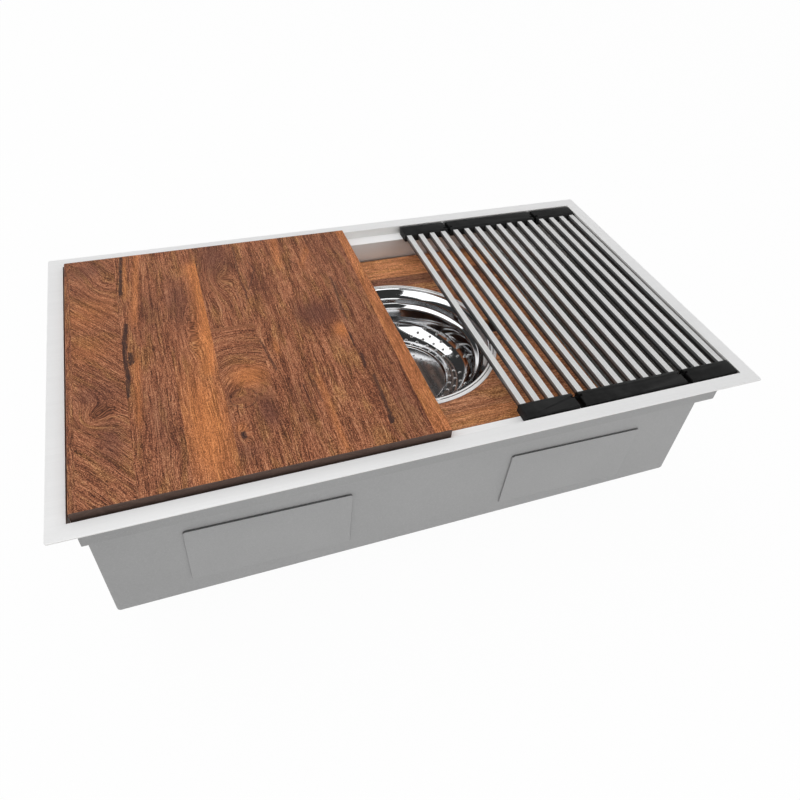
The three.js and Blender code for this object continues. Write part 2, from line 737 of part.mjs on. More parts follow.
function rackRod() {
  const half = ROD_SIZE / 2;
  const cut = half - ROD_EDGE;
  const outline = [
    [-cut, -half],
    [cut, -half],
    [half, -cut],
    [half, cut],
    [cut, half],
    [-cut, half],
    [-half, cut],
    [-half, -cut],
  ];
  const reach = BAR_INNER + ROD_EMBED;
  return prismAlongY(outline, -reach, reach);
}

// One end bar at the back; folds names the ends that meet a neighbour. Its far end lies in the mirror plane.
function endBar(start, end, rods, folds) {
  const side = prismAlongX(
    [
      [BAR_INNER, BAR_BOTTOM],
      [BAR_OUTER - BAR_EDGE, BAR_BOTTOM],
      [BAR_OUTER, BAR_BOTTOM + BAR_EDGE],
      [BAR_OUTER, BAR_TOP - BAR_EDGE],
      [BAR_OUTER - BAR_EDGE, BAR_TOP],
      [BAR_INNER + BAR_INNER_CHAMFER, BAR_TOP],
      [BAR_INNER, BAR_TOP - ROD_DROP + 0.2],
    ],
    start,
    end,
  );
  const front = prismAlongY(
    [
      [start, BAR_BOTTOM],
      [end, BAR_BOTTOM],
      [end, BAR_TOP - BAR_EDGE],
      [end - BAR_EDGE * 0.3, BAR_TOP - BAR_EDGE * 0.3],
      [end - BAR_EDGE, BAR_TOP],
      [start + BAR_EDGE, BAR_TOP],
      [start + BAR_EDGE * 0.3, BAR_TOP - BAR_EDGE * 0.3],
      [start, BAR_TOP - BAR_EDGE],
    ],
    BAR_INNER,
    BAR_OUTER,
  );
  let bar = side.intersect(front);
  const pocket = ROD_SIZE / 2 + SEAT_GAP;
  for (const x of rods) {
    bar = bar.subtract(
      boxBetween(
        [x - pocket, BAR_INNER - 1, ROD_TOP - ROD_SIZE / 2 - pocket],
        [x + pocket, BAR_INNER + ROD_EMBED + SEAT_GAP, ROD_TOP - ROD_SIZE / 2 + pocket],
      ),
    );
  }
  for (const { fold, toward } of folds) {
    bar = bar.subtract(hingeCut(fold, toward));
  }
  return bar;
}

// The slot that a fold link swings in, and the blind holes for its pin ends. toward is +1 or -1: which side
// of the fold's middle the bar lies on.
function hingeCut(fold, toward) {
  const pivotX = fold + (toward * LINK_PITCH) / 2;
  const pivotZ = BAR_TOP - HINGE_DEPTH;
  const nearY = LINK_Y - LINK_SLOT_WIDTH / 2;
  const farY = LINK_Y + LINK_SLOT_WIDTH / 2;
  const slotBack = pivotX + toward * LINK_SLOT_RADIUS;
  const low = pivotZ - LINK_SLOT_RADIUS;
  const slot = boxBetween(
    [Math.min(fold, slotBack), nearY, low],
    [Math.max(fold, slotBack), farY, BAR_TOP + 1],
  );
  const pinEnd = HINGE_PIN_REACH + SEAT_GAP;
  const pin = pinAlongY(pivotX, pivotZ, HINGE_PIN_RADIUS + SEAT_GAP, nearY - pinEnd, farY + pinEnd);
  return slot.add(pin);
}

// A link joins two end bars: a flat plate with round ends and a pin through each end.
function foldLink(fold) {
  const z = BAR_TOP - HINGE_DEPTH;
  const half = LINK_PITCH / 2;
  const outline = [];
  const steps = 4;
  for (let i = 0; i <= steps; i++) {
    const a = -Math.PI / 2 + (i / steps) * Math.PI;
    outline.push([fold + half + LINK_RADIUS * Math.cos(a), z + LINK_RADIUS * Math.sin(a)]);
  }
  for (let i = 0; i <= steps; i++) {
    const a = Math.PI / 2 + (i / steps) * Math.PI;
    outline.push([fold - half + LINK_RADIUS * Math.cos(a), z + LINK_RADIUS * Math.sin(a)]);
  }
  let link = prismAlongY(outline, LINK_Y - LINK_WIDTH / 2, LINK_Y + LINK_WIDTH / 2);
  const reach = LINK_SLOT_WIDTH / 2 + HINGE_PIN_REACH;
  for (const x of [fold - half, fold + half]) {
    link = link.add(pinAlongY(x, z, HINGE_PIN_RADIUS, LINK_Y - reach, LINK_Y + reach));
  }
  return link;
}

// The same piece on the other side of the XZ plane.
function mirroredY(geometry) {
  const mirrored = geometry.clone();
  const points = mirrored.attributes.position;
  for (let i = 0; i < points.count; i += 3) {
    const [a, b, c] = [0, 1, 2].map((k) => new THREE.Vector3().fromBufferAttribute(points, i + k));
    points.setXYZ(i, a.x, -a.y, a.z);
    points.setXYZ(i + 1, c.x, -c.y, c.z);
    points.setXYZ(i + 2, b.x, -b.y, b.z);
  }
  mirrored.computeVertexNormals();
  return mirrored;
}

function addRack() {
  const panels = rackLayout();
  const folds = {
    left: (panels.left.end + panels.middle.start) / 2,
    right: (panels.middle.end + panels.right.start) / 2,
  };
  const meets = {
    left: [{ fold: folds.left, toward: -1 }],
    middle: [{ fold: folds.left, toward: 1 }, { fold: folds.right, toward: -1 }],
    right: [{ fold: folds.right, toward: 1 }],
  };
  let number = 1;
  for (const side of ["left", "middle", "right"]) {
    const { start, end, rods } = panels[side];
    const bar = endBar(start, end, rods, meets[side]);
    place(`rack_bar_back_${side}`, bar, blackSilicone());
    place(`rack_bar_front_${side}`, mirroredY(geometryOf(bar)), blackSilicone());
    for (const x of rods) {
      const name = `rack_rod_${String(number).padStart(2, "0")}`;
      place(name, rackRod(), satinRod(), x, 0, ROD_TOP - ROD_SIZE / 2);
      number += 1;
    }
  }
  for (const side of ["left", "right"]) {
    const link = foldLink(folds[side]);
    place(`rack_link_back_${side}`, link, blackSilicone());
    place(`rack_link_front_${side}`, mirroredY(geometryOf(link)), blackSilicone());
  }
}

// ---------------------------------------------------------------- assembly
place("sink_shell", sinkShell(), brushedSteel());
addSoundPads();
addStrainer();
place(
  "cutting_board",
  cuttingBoard(),
  redBrownWood(),
  -BOWL_HALF_LENGTH + BOARD_END_GAP + BOARD_LENGTH / 2,
);
place("colander_platform", colanderPlatform(), orangeWood(), PLATFORM_X, PLATFORM_Y);
place("colander", colander(), mirrorSteel(), PLATFORM_X, PLATFORM_Y, PLATFORM_TOP);
addRack();

export default sink;
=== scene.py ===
import math

import bmesh
import bpy
import numpy as np
from mathutils import Matrix, Vector


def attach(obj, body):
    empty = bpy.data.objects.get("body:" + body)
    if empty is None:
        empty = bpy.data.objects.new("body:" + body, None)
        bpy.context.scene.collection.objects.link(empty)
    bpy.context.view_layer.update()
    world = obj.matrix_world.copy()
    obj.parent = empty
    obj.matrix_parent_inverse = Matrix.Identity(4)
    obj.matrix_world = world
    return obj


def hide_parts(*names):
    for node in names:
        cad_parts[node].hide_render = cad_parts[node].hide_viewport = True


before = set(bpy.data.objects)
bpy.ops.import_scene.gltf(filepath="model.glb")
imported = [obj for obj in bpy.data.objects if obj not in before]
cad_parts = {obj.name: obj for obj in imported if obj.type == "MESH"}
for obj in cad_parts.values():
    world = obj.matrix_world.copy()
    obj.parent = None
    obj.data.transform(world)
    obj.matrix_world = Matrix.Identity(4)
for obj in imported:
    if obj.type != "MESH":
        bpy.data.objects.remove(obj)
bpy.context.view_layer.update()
MM = 0.001


# ---------------------------------------------------------------- sizes that the dressed pieces share
SHEET = 1.5 * MM
BEND = 2.0 * SHEET
PAD_MIDDLE = -220.0 * MM
UPTURNED = 0.4
BOWL_HALF_LENGTH = 400.1 * MM
RIM_HALF_DEPTH = 222.3 * MM
UPPER_LEDGE = -12.5 * MM
ROD_PITCH = 19.25 * MM
ROD_SIZE = 8.0 * MM
RACK_PANELS = {"left": 4, "middle": 8, "right": 4}


# ---------------------------------------------------------------- shader sums
def link_or_set(tree, socket, value):
    if isinstance(value, Value):
        tree.links.new(value.socket, socket)
    elif isinstance(value, (tuple, list)):
        wanted = len(socket.default_value)
        socket.default_value = tuple(value) + (1.0,) * (wanted - len(value))
    else:
        socket.default_value = value


class Value:
    """A socket's value, so that a sum on it adds its Math node."""

    def __init__(self, finish, socket):
        self.finish = finish
        self.socket = socket

    def sum(self, operation, first, second):
        return self.finish.node("ShaderNodeMath", {0: first, 1: second}, {"operation": operation})

    def __add__(self, other):
        return self.sum("ADD", self, other)

    def __radd__(self, other):
        return self.sum("ADD", other, self)

    def __sub__(self, other):
        return self.sum("SUBTRACT", self, other)

    def __rsub__(self, other):
        return self.sum("SUBTRACT", other, self)

    def __mul__(self, other):
        return self.sum("MULTIPLY", self, other)

    def __truediv__(self, other):
        return self.sum("DIVIDE", self, other)

    def alone(self, operation):
        return self.finish.node("ShaderNodeMath", {0: self}, {"operation": operation})

    def __abs__(self):
        return self.alone("ABSOLUTE")

    def least(self, other):
        return self.sum("MINIMUM", self, other)

    def most(self, other):
        return self.sum("MAXIMUM", self, other)

    def rise(self, low, high):
        """0 below low, 1 above high, and smooth between. It falls where low is the larger."""
        settings = {"interpolation_type": "SMOOTHSTEP"}
        return self.finish.node("ShaderNodeMapRange", {0: self, 1: low, 2: high}, settings)


class Nodes:
    """A node tree whose nodes are made one call at a time."""

    def node(self, kind, inputs=None, settings=None, out=0):
        made = self.tree.nodes.new(kind)
        for key, value in (settings or {}).items():
            if key == "stops":
                self.set_stops(made.color_ramp, value)
            else:
                setattr(made, key, value)
        for key, value in (inputs or {}).items():
            link_or_set(self.tree, made.inputs[key], value)
        return Value(self, made.outputs[out])

    @staticmethod
    def set_stops(ramp, stops):
        while len(ramp.elements) < len(stops):
            ramp.elements.new(0.5)
        for element, (position, colour) in zip(ramp.elements, stops):
            element.position = position
            element.color = tuple(colour) + (1.0,)

    def axes(self, vector):
        outputs = self.node("ShaderNodeSeparateXYZ", {0: vector}).socket.node.outputs
        return tuple(Value(self, outputs[i]) for i in range(3))

    def vector(self, x, y, z):
        return self.node("ShaderNodeCombineXYZ", {0: x, 1: y, 2: z})


class Finish(Nodes):
    """The nodes of a material or of the world."""

    def __init__(self, name, kind="materials"):
        self.material = getattr(bpy.data, kind).new(name)
        self.material.use_nodes = True
        self.tree = self.material.node_tree
        self.tree.nodes.clear()

    def place(self):
        return self.node("ShaderNodeTexCoord", out="Object")

    def stretched(self, vector, factors):
        return self.node("ShaderNodeVectorMath", {0: vector, 1: factors}, {"operation": "MULTIPLY"})

    def noise(self, vector, scale, detail=2.0, roughness=0.5, distortion=0.0):
        inputs = {"Vector": vector, "Scale": scale, "Detail": detail}
        inputs |= {"Roughness": roughness, "Distortion": distortion}
        return self.node("ShaderNodeTexNoise", inputs, out="Fac")

    def mix(self, factor, first, second, blend="MIX"):
        settings = {"data_type": "RGBA", "blend_type": blend, "clamp_factor": True}
        return self.node("ShaderNodeMix", {0: factor, 6: first, 7: second}, settings, out=2)

    def times(self, first, second):
        return self.mix(1.0, first, second, "MULTIPLY")

    def grey(self, value):
        return self.node("ShaderNodeCombineColor", {0: value, 1: value, 2: value})

    def ramp(self, factor, stops):
        return self.node("ShaderNodeValToRGB", {0: factor}, {"stops": stops})

    def bump(self, height, strength, distance, under=None):
        inputs = {"Height": height, "Strength": strength, "Distance": distance}
        if under is not None:
            inputs["Normal"] = under
        return self.node("ShaderNodeBump", inputs)

    def surface(self, colour, rough, normal, metallic=0.0, gloss=None):
        inputs = {"Base Color": colour, "Metallic": metallic, "Roughness": rough, "Normal": normal}
        if gloss is not None:
            inputs["Specular IOR Level"] = gloss
        return self.finished(self.node("ShaderNodeBsdfPrincipled", inputs, out="BSDF"))

    def finished(self, shader, kind="ShaderNodeOutputMaterial"):
        output = self.tree.nodes.new(kind)
        self.tree.links.new(shader.socket, output.inputs["Surface"])
        return self.material


# ---------------------------------------------------------------- metals
def brushed_steel(name, colour, metallic, roughness, streak):
    """Brushed sheet: long fine scratches that run along X."""
    f = Finish(name)
    place = f.place()
    fine_factors = (6.0, 900.0, 900.0)
    wide_factors = tuple(v * 0.16 for v in fine_factors)
    fine = f.noise(f.stretched(place, fine_factors), 1.0, 3.0, 0.6)
    wide = f.noise(f.stretched(place, wide_factors), 1.0, 2.0, 0.5)
    cloud = f.noise(place, 9.0, 3.0, 0.55)
    light = 1.0 + (fine - 0.5) * streak + (wide - 0.5) * streak * 0.8 + (cloud - 0.5) * 0.06
    base = f.times(colour, f.grey(light))
    rough = roughness + (wide - 0.5) * 0.14 + (cloud - 0.5) * 0.08
    normal = f.bump(fine, 0.10, 0.00012)
    return f.surface(base, rough, normal, metallic)


def sound_coat(name, depth=1.0):
    """Sprayed undercoat: matt mid grey, lightly pebbled and flecked, with painted shade on the band under
    the rim and towards the left end.
    """
    f = Finish(name)
    place = f.place()
    x, _, z = f.axes(place)
    pebble = f.noise(place, 420.0, 3.0, 0.6)
    fleck = f.noise(place, 900.0, 1.0, 0.5).rise(0.62, 0.74)
    cloud = f.noise(place, 7.0, 3.0, 0.6)
    light = 1.0 + (pebble - 0.5) * 0.22 + (cloud - 0.5) * 0.16
    # Painted shade: darker on the upper band just under the rim, and darker towards the left end.
    light = light - z.rise(-0.0635, -0.0615) * 0.07 - x.rise(-0.22, -0.42) * 0.10
    base = f.times((0.392 * depth,) * 3, f.grey(light))
    base = f.mix(fleck * 0.30, base, (0.58, 0.58, 0.58))
    normal = f.bump(pebble + fleck * 0.4, 0.35, 0.0006)
    rough = 0.80 + (pebble - 0.5) * 0.15
    return f.surface(base, rough, normal)


def mirror_steel(name, roughness, satin_floor=None):
    """Polished steel with the faint cloudiness and hairlines that use leaves. A floor at the height
    satin_floor, on the axis of the colander, is duller."""
    f = Finish(name)
    place = f.place()
    cloud = f.noise(place, 30.0, 3.0, 0.6)
    hairline = f.noise(f.stretched(place, (500.0, 500.0, 40.0)), 1.0, 2.0, 0.6)
    base = f.mix(cloud, (0.74, 0.745, 0.76), (0.84, 0.845, 0.85))
    rough = roughness + (cloud - 0.5) * 0.05 + (hairline - 0.5) * 0.03
    if satin_floor is not None:
        rough = rough + f.axes(place)[2].rise(satin_floor + 1.6 * MM, satin_floor + 0.4 * MM) * 0.06
    normal = f.bump(hairline, 0.04, 0.0001)
    return f.surface(base, rough, normal, 1.0)


def bar_steel(name, colour, metallic, roughness, painted_shade_below=None):
    """Bars, and the colander's cut edges and painted lip highlight: fine scratches along Y and a faint
    mottle. Below a given height the colour is darkened as painted shade."""
    f = Finish(name)
    place = f.place()
    fine = f.noise(f.stretched(place, (2400.0, 14.0, 2400.0)), 1.0, 2.0, 0.6)
    mottle = f.noise(f.stretched(place, (160.0, 60.0, 160.0)), 1.0, 3.0, 0.6)
    light = 1.0 + (fine - 0.5) * 0.10 + (mottle - 0.5) * 0.12
    if painted_shade_below is not None:
        height = f.axes(place)[2]
        # Painted shade: the colour darkens below the given height.
        light = light * (0.25 + height.rise(painted_shade_below - 0.8 * MM, painted_shade_below + 0.8 * MM) * 0.75)
    base = f.times(colour, f.grey(light))
    rough = roughness + (mottle - 0.5) * roughness * 0.33
    normal = f.bump(fine, 0.10, 0.0001)
    return f.surface(base, rough, normal, metallic)


def cast_nut_metal():
    f = Finish("cast_nut_metal")
    place = f.place()
    grain = f.noise(place, 700.0, 3.0, 0.6)
    cloud = f.noise(place, 60.0, 2.0, 0.5)
    light = 1.0 + (grain - 0.5) * 0.25 + (cloud - 0.5) * 0.15
    base = f.times((0.56, 0.56, 0.55), f.grey(light))
    normal = f.bump(grain, 0.3, 0.0004)
    rough = 0.45 + (cloud - 0.5) * 0.2
    return f.surface(base, rough, normal, 1.0)


# ---------------------------------------------------------------- rubbers and fibre
def silicone(name, depth):
    """The rack's covered end bars: near-black, faintly cloudy, with a soft sheen on the edges."""
    f = Finish(name)
    place = f.place()
    skin = f.noise(place, 1500.0, 2.0, 0.6)
    dust = f.noise(place, 55.0, 3.0, 0.6)
    base = f.mix(dust.rise(0.35, 0.75), (0.014 * depth,) * 3, (0.024 * depth,) * 3)
    normal = f.bump(skin, 0.12, 0.0002)
    rough = 0.58 + (dust - 0.5) * 0.2 + (skin - 0.5) * 0.08
    return f.surface(base, rough, normal, gloss=0.16)


def matt_grain(name, grain, dark, light, relief, rough, swing):
    """A matt material whose colour, relief and roughness all follow one fine grain."""
    f = Finish(name)
    skin = f.noise(f.place(), *grain)
    colour = f.mix(skin, dark, light)
    return f.surface(colour, rough + (skin - 0.5) * swing, f.bump(skin, relief, 0.0003))


def rubber():
    tones = ((0.012, 0.012, 0.013), (0.030, 0.030, 0.031))
    return matt_grain("black_rubber", (1100.0, 3.0, 0.6), *tones, 0.2, 0.65, 0.2)


def fibre():
    tones = ((0.33, 0.26, 0.16), (0.55, 0.45, 0.30))
    return matt_grain("fibre_washer", (800.0, 4.0, 0.7), *tones, 0.3, 0.85, 0.1)


# ---------------------------------------------------------------- wood
DEEP = (0.060, 0.024, 0.015)
DUSK = (0.125, 0.050, 0.042)
UMBER = (0.150, 0.058, 0.034)
BODY = (0.262, 0.104, 0.056)
PALE = (0.420, 0.190, 0.105)
STRAW = (0.560, 0.300, 0.180)
GLOW = (0.560, 0.215, 0.075)


def oiled_wood(name, tint):
    """Side grain. The UV map holds millimetres across and along the grain; the colour attribute holds how
    much the wood glows, how dusky it is and how light its stave is; the veins hold the signed distance in
    millimetres to a dark gum streak and that streak's half width."""
    f = Finish(name)
    grain = f.node("ShaderNodeUVMap", settings={"uv_map": "grain"})
    across, along, _ = f.axes(grain)
    tone = f.node("ShaderNodeAttribute", settings={"attribute_name": "tone"}, out="Color")
    parts = f.node("ShaderNodeSeparateColor", {0: tone}).socket.node.outputs
    glow, dusk, stave = (Value(f, parts[i]) for i in range(3))

    def lines(width, length, detail, roughness, shift, start=across):
        place = f.vector(start / width, along / length, shift)
        return f.noise(place, 1.0, detail, roughness) - 0.5

    swayed = across + lines(34.0, 120.0, 2.0, 0.5, 3.0) * 16.0
    wavy = swayed + lines(10.0, 34.0, 2.0, 0.5, 5.0) * 4.0

    bands = lines(8.0, 170.0, 3.0, 0.60, 7.0, swayed)
    rings = lines(2.6, 80.0, 3.0, 0.65, 11.0, wavy)
    fibre = lines(1.15, 48.0, 3.0, 0.60, 17.0, wavy)
    dash = lines(1.1, 11.0, 1.0, 0.50, 23.0, wavy)
    tick = lines(0.9, 5.0, 0.0, 0.50, 27.0, wavy)
    hair = lines(0.75, 4.0, 1.0, 0.60, 25.0, wavy)
    speck = lines(1.1, 1.5, 1.0, 0.60, 29.0)
    patch = lines(24.0, 55.0, 3.0, 0.60, 31.0)
    hue = lines(14.0, 70.0, 2.0, 0.55, 43.0, swayed)

    edge = patch * 0.8 + bands * 1.1 + fibre * 0.5
    glowing = (glow * 1.05 + edge * glow).most(0.0).least(1.0)
    dusky = (dusk + edge * dusk).most(0.0).least(1.0)

    shade = 0.5 + bands * 0.90 + rings * 0.85 + fibre * 1.40 + dash * 0.85
    shade = shade + hair * 0.95 + speck * 1.50 + patch * 0.30
    stops = ((0.10, DEEP), (0.34, UMBER), (0.52, BODY), (0.74, PALE), (0.95, STRAW))
    colour = f.ramp(shade, stops)
    redder = hue.rise(-0.16, 0.16) * 0.45
    colour = f.mix(redder, colour, f.times(colour, (1.06, 0.92, 0.98)))
    golden = f.times(colour, (1.0, 1.10, 0.82))
    colour = f.mix(hue.rise(0.02, -0.18) * 0.6, colour, golden)
    lively = 1.0 + (dash * 0.7 + hair * 0.7 + fibre * 1.3 + speck * 1.5 + rings * 0.7)
    glow_colour = f.times(GLOW, f.grey(lively))
    colour = f.mix(glowing * 0.72, colour, glow_colour)
    dusk_colour = f.times(DUSK, f.grey(lively))
    colour = f.mix(dusky * 0.82, colour, dusk_colour)
    colour = f.mix(rings.rise(0.06, 0.20) * 0.45, colour, DEEP)
    colour = f.mix(tick.rise(0.14, 0.26) * 0.50, colour, DEEP)
    colour = f.times(colour, f.grey(0.74 + stave * 0.52))
    colour = f.times(colour, tint)

    gum = None
    for vein_name in ("vein_a", "vein_b"):
        vein = f.node("ShaderNodeAttribute", settings={"attribute_name": vein_name}, out="Vector")
        distance, half_width, _ = f.axes(vein)
        wobble = lines(400.0, 6.0, 3.0, 0.75, 37.0) * 4.5
        ragged = 0.35 + (lines(2.5, 9.0, 3.0, 0.7, 41.0) + 0.5) * 1.5
        margin = abs(distance + wobble) - half_width * ragged
        dark = margin.rise(1.0, -0.7) * half_width.rise(0.0, 0.3)
        dark = dark * (0.45 + half_width.rise(0.8, 2.2) * 0.35)
        gum = dark if gum is None else gum.most(dark)
    colour = f.mix((gum * (1.0 + dash * 1.6)).least(1.0), colour, (0.045, 0.024, 0.022))

    height = rings * 0.4 + fibre * 0.4 + dash * 0.5 - gum * 0.5
    normal = f.bump(height, 0.25, 0.0003)
    rough = 0.52 + fibre * 0.16 + patch * 0.10
    return f.surface(colour, rough, normal, gloss=0.16)


def end_grain(name, along_x):
    """Where the staves are cut across: dark, oil-soaked, with growth arcs and open pores."""
    f = Finish(name)
    x, y, z = f.axes(f.place())
    across = x if along_x else y
    arcs = f.noise(f.vector(across * 55.0, z * 190.0, 1.0), 1.0, 3.0, 0.6, 1.4)
    stripe = f.noise(f.vector(across * 640.0, z * 900.0, 5.0), 1.0, 2.0, 0.6)
    pore = f.noise(f.vector(across * 2200.0, z * 2200.0, 9.0), 1.0, 1.0, 0.5).rise(0.58, 0.70)
    shade = arcs * 0.7 + stripe * 0.3
    colour = f.ramp(shade, ((0.25, (0.072, 0.046, 0.038)), (0.75, (0.150, 0.098, 0.080))))
    colour = f.mix(pore * 0.6, colour, (0.050, 0.028, 0.021))
    normal = f.bump(stripe - pore, 0.25, 0.0003)
    rough = 0.62 + (stripe - 0.5) * 0.2
    return f.surface(colour, rough, normal, gloss=0.2)


# ---------------------------------------------------------------- mesh helpers
def new_piece(name, mesh):
    piece = bpy.data.objects.new(name, mesh)
    bpy.context.scene.collection.objects.link(piece)
    return piece


def smooth(mesh, degrees=32.0):
    mesh.polygons.foreach_set("use_smooth", [True] * len(mesh.polygons))
    mesh.set_sharp_from_angle(angle=math.radians(degrees))


def baked(piece):
    """The piece with its modifiers worked into a plain mesh."""
    depsgraph = bpy.context.evaluated_depsgraph_get()
    evaluated = piece.evaluated_get(depsgraph)
    mesh = bpy.data.meshes.new_from_object(evaluated, preserve_all_data_layers=True, depsgraph=depsgraph)
    piece.modifiers.clear()
    old = piece.data
    piece.data = mesh
    bpy.data.meshes.remove(old)
    return piece


def eased_copy(name, nodes, width, segments=3, limit=34.0):
    """One piece for several CAD nodes, joined, with its real edges rounded over."""
    form = bmesh.new()
    for node in nodes:
        form.from_mesh(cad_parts[node].data)
    bmesh.ops.remove_doubles(form, verts=form.verts, dist=0.00001)
    bmesh.ops.dissolve_limit(form, angle_limit=math.radians(0.5), verts=form.verts, edges=form.edges)
    mesh = bpy.data.meshes.new(name)
    form.to_mesh(mesh)
    form.free()
    piece = new_piece(name, mesh)
    bevel = piece.modifiers.new("Eased", "BEVEL")
    bevel.width = width
    bevel.segments = segments
    bevel.limit_method = "ANGLE"
    bevel.angle_limit = math.radians(limit)
    baked(piece)
    smooth(piece.data)
    return piece


def settle(piece, body, slot, nodes, *materials):
    """Gives a finished piece its body and its materials and hides the nodes it stands for. Its record
    slot is not used.
    """
    for material in materials:
        piece.data.materials.append(material)
    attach(piece, body)
    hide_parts(*nodes)


def pick(piece, choose):
    """Gives each face the material slot that choose returns for it."""
    for face in piece.data.polygons:
        face.material_index = int(choose(face))


def stand_in(name, body, slot, nodes, width, segments, *materials):
    """An eased copy of some nodes, settled in their place."""
    piece = eased_copy(name, nodes, width, segments)
    settle(piece, body, slot, nodes, *materials)
    return piece


def turned(name, profile, segments):
    """A closed profile of (radius, z) turned about a vertical axis through the origin."""
    form = bmesh.new()
    loops = []
    for radius, z in profile:
        if radius <= 1e-9:
            loops.append([form.verts.new((0.0, 0.0, z))])
            continue
        loop = []
        for i in range(segments):
            angle = 2.0 * math.pi * (i + 0.37) / segments
            loop.append(form.verts.new((radius * math.cos(angle), radius * math.sin(angle), z)))
        loops.append(loop)
    pairs = list(zip(loops, loops[1:]))
    if profile[0][0] > 1e-9:
        pairs.append((loops[-1], loops[0]))
    for lower, upper in pairs:
        for i in range(segments):
            j = (i + 1) % segments
            ring = [lower[i % len(lower)], lower[j % len(lower)]]
            ring += [upper[j % len(upper)], upper[i % len(upper)]]
            corners = list(dict.fromkeys(ring))
            if len(corners) > 2:
                form.faces.new(corners)
    bmesh.ops.recalc_face_normals(form, faces=form.faces)
    mesh = bpy.data.meshes.new(name)
    form.to_mesh(mesh)
    form.free()
    return mesh


# ---------------------------------------------------------------- repeated forms
DRILL_SIDES = 14


class Grower(Nodes):
    """A Geometry Nodes tree. It takes the names of its inputs for each type of socket."""

    def __init__(self, name, with_form=False, **labels):
        self.tree = bpy.data.node_groups.new(name, "GeometryNodeTree")
        self.sockets = {}
        face = self.tree.interface
        if with_form:
            face.new_socket("Form", in_out="INPUT", socket_type="NodeSocketGeometry")
        for kind, names in {**labels, "Material": ("Material",)}.items():
            for label in names:
                made = face.new_socket(label, in_out="INPUT", socket_type="NodeSocket" + kind)
                self.sockets[label] = made.identifier
        face.new_socket("Geometry", in_out="OUTPUT", socket_type="NodeSocketGeometry")
        self.given = self.tree.nodes.new("NodeGroupInput")
        self.result = self.tree.nodes.new("NodeGroupOutput")

    def input(self, label):
        return Value(self, self.given.outputs[label])

    def real(self, form):
        return self.node("GeometryNodeRealizeInstances", {"Geometry": form})

    def on_points(self, points, form, **turn):
        inputs = {"Points": points, "Instance": form, **turn}
        return self.node("GeometryNodeInstanceOnPoints", inputs)

    def finish(self, form):
        inputs = {"Geometry": self.real(form), "Material": self.input("Material")}
        painted = self.node("GeometryNodeSetMaterial", inputs)
        self.tree.links.new(painted.socket, self.result.inputs[0])
        return self

    def finish_drilled(self, drills):
        """Ends the tree with its form less the drills."""
        settings = {"operation": "DIFFERENCE", "solver": "EXACT"}
        inputs = {0: self.input("Form"), 1: self.real(drills)}
        return self.finish(self.node("GeometryNodeMeshBoolean", inputs, settings))

    def grow(self, piece, **values):
        """Runs the tree on a piece once and keeps the plain mesh that it makes."""
        modifier = piece.modifiers.new(self.tree.name, "NODES")
        modifier.node_group = self.tree
        for label, value in values.items():
            modifier[self.sockets[label.replace("_", " ")]] = value
        return baked(piece)


def bar_row():
    """Square bars with eased edges, side by side along X, each lying along Y."""
    sizes = ("Pitch", "Length", "Size", "Edge")
    g = Grower("bar_row", Int=("Count",), Float=sizes, Vector=("First",))
    size = g.input("Size")
    half = g.input("Length") * 0.5
    spine = g.node(
        "GeometryNodeCurvePrimitiveLine",
        {"Start": g.vector(0.0, 0.0 - half, 0.0), "End": g.vector(0.0, half, 0.0)},
    )
    square = g.node(
        "GeometryNodeCurvePrimitiveQuadrilateral",
        {"Width": size, "Height": size},
        {"mode": "RECTANGLE"},
    )
    eased = g.node(
        "GeometryNodeFilletCurve",
        {"Curve": square, "Count": 3, "Radius": g.input("Edge")},
        {"mode": "POLY"},
    )
    bar = g.node("GeometryNodeCurveToMesh", {"Curve": spine, "Profile Curve": eased, "Fill Caps": True})
    places = g.node(
        "GeometryNodeMeshLine",
        {
            "Count": g.input("Count"),
            "Start Location": g.input("First"),
            "Offset": g.vector(g.input("Pitch"), 0.0, 0.0),
        },
        {"mode": "OFFSET"},
    )
    return g.finish(g.on_points(places, bar))


def hole_ring():
    """Round holes in a ring, cut straight down through the form."""
    sizes = ("Ring Radius", "Hole Radius", "Reach")
    g = Grower("hole_ring", True, Int=("Count",), Float=sizes, Vector=("Centre",))
    ring = g.node(
        "GeometryNodeMeshCircle", {"Vertices": g.input("Count"), "Radius": g.input("Ring Radius")}
    )
    placed = g.node("GeometryNodeTransform", {"Geometry": ring, "Translation": g.input("Centre")})
    drill = g.node(
        "GeometryNodeMeshCylinder",
        {"Vertices": DRILL_SIDES, "Radius": g.input("Hole Radius"), "Depth": g.input("Reach")},
    )
    return g.finish_drilled(g.on_points(placed, drill))


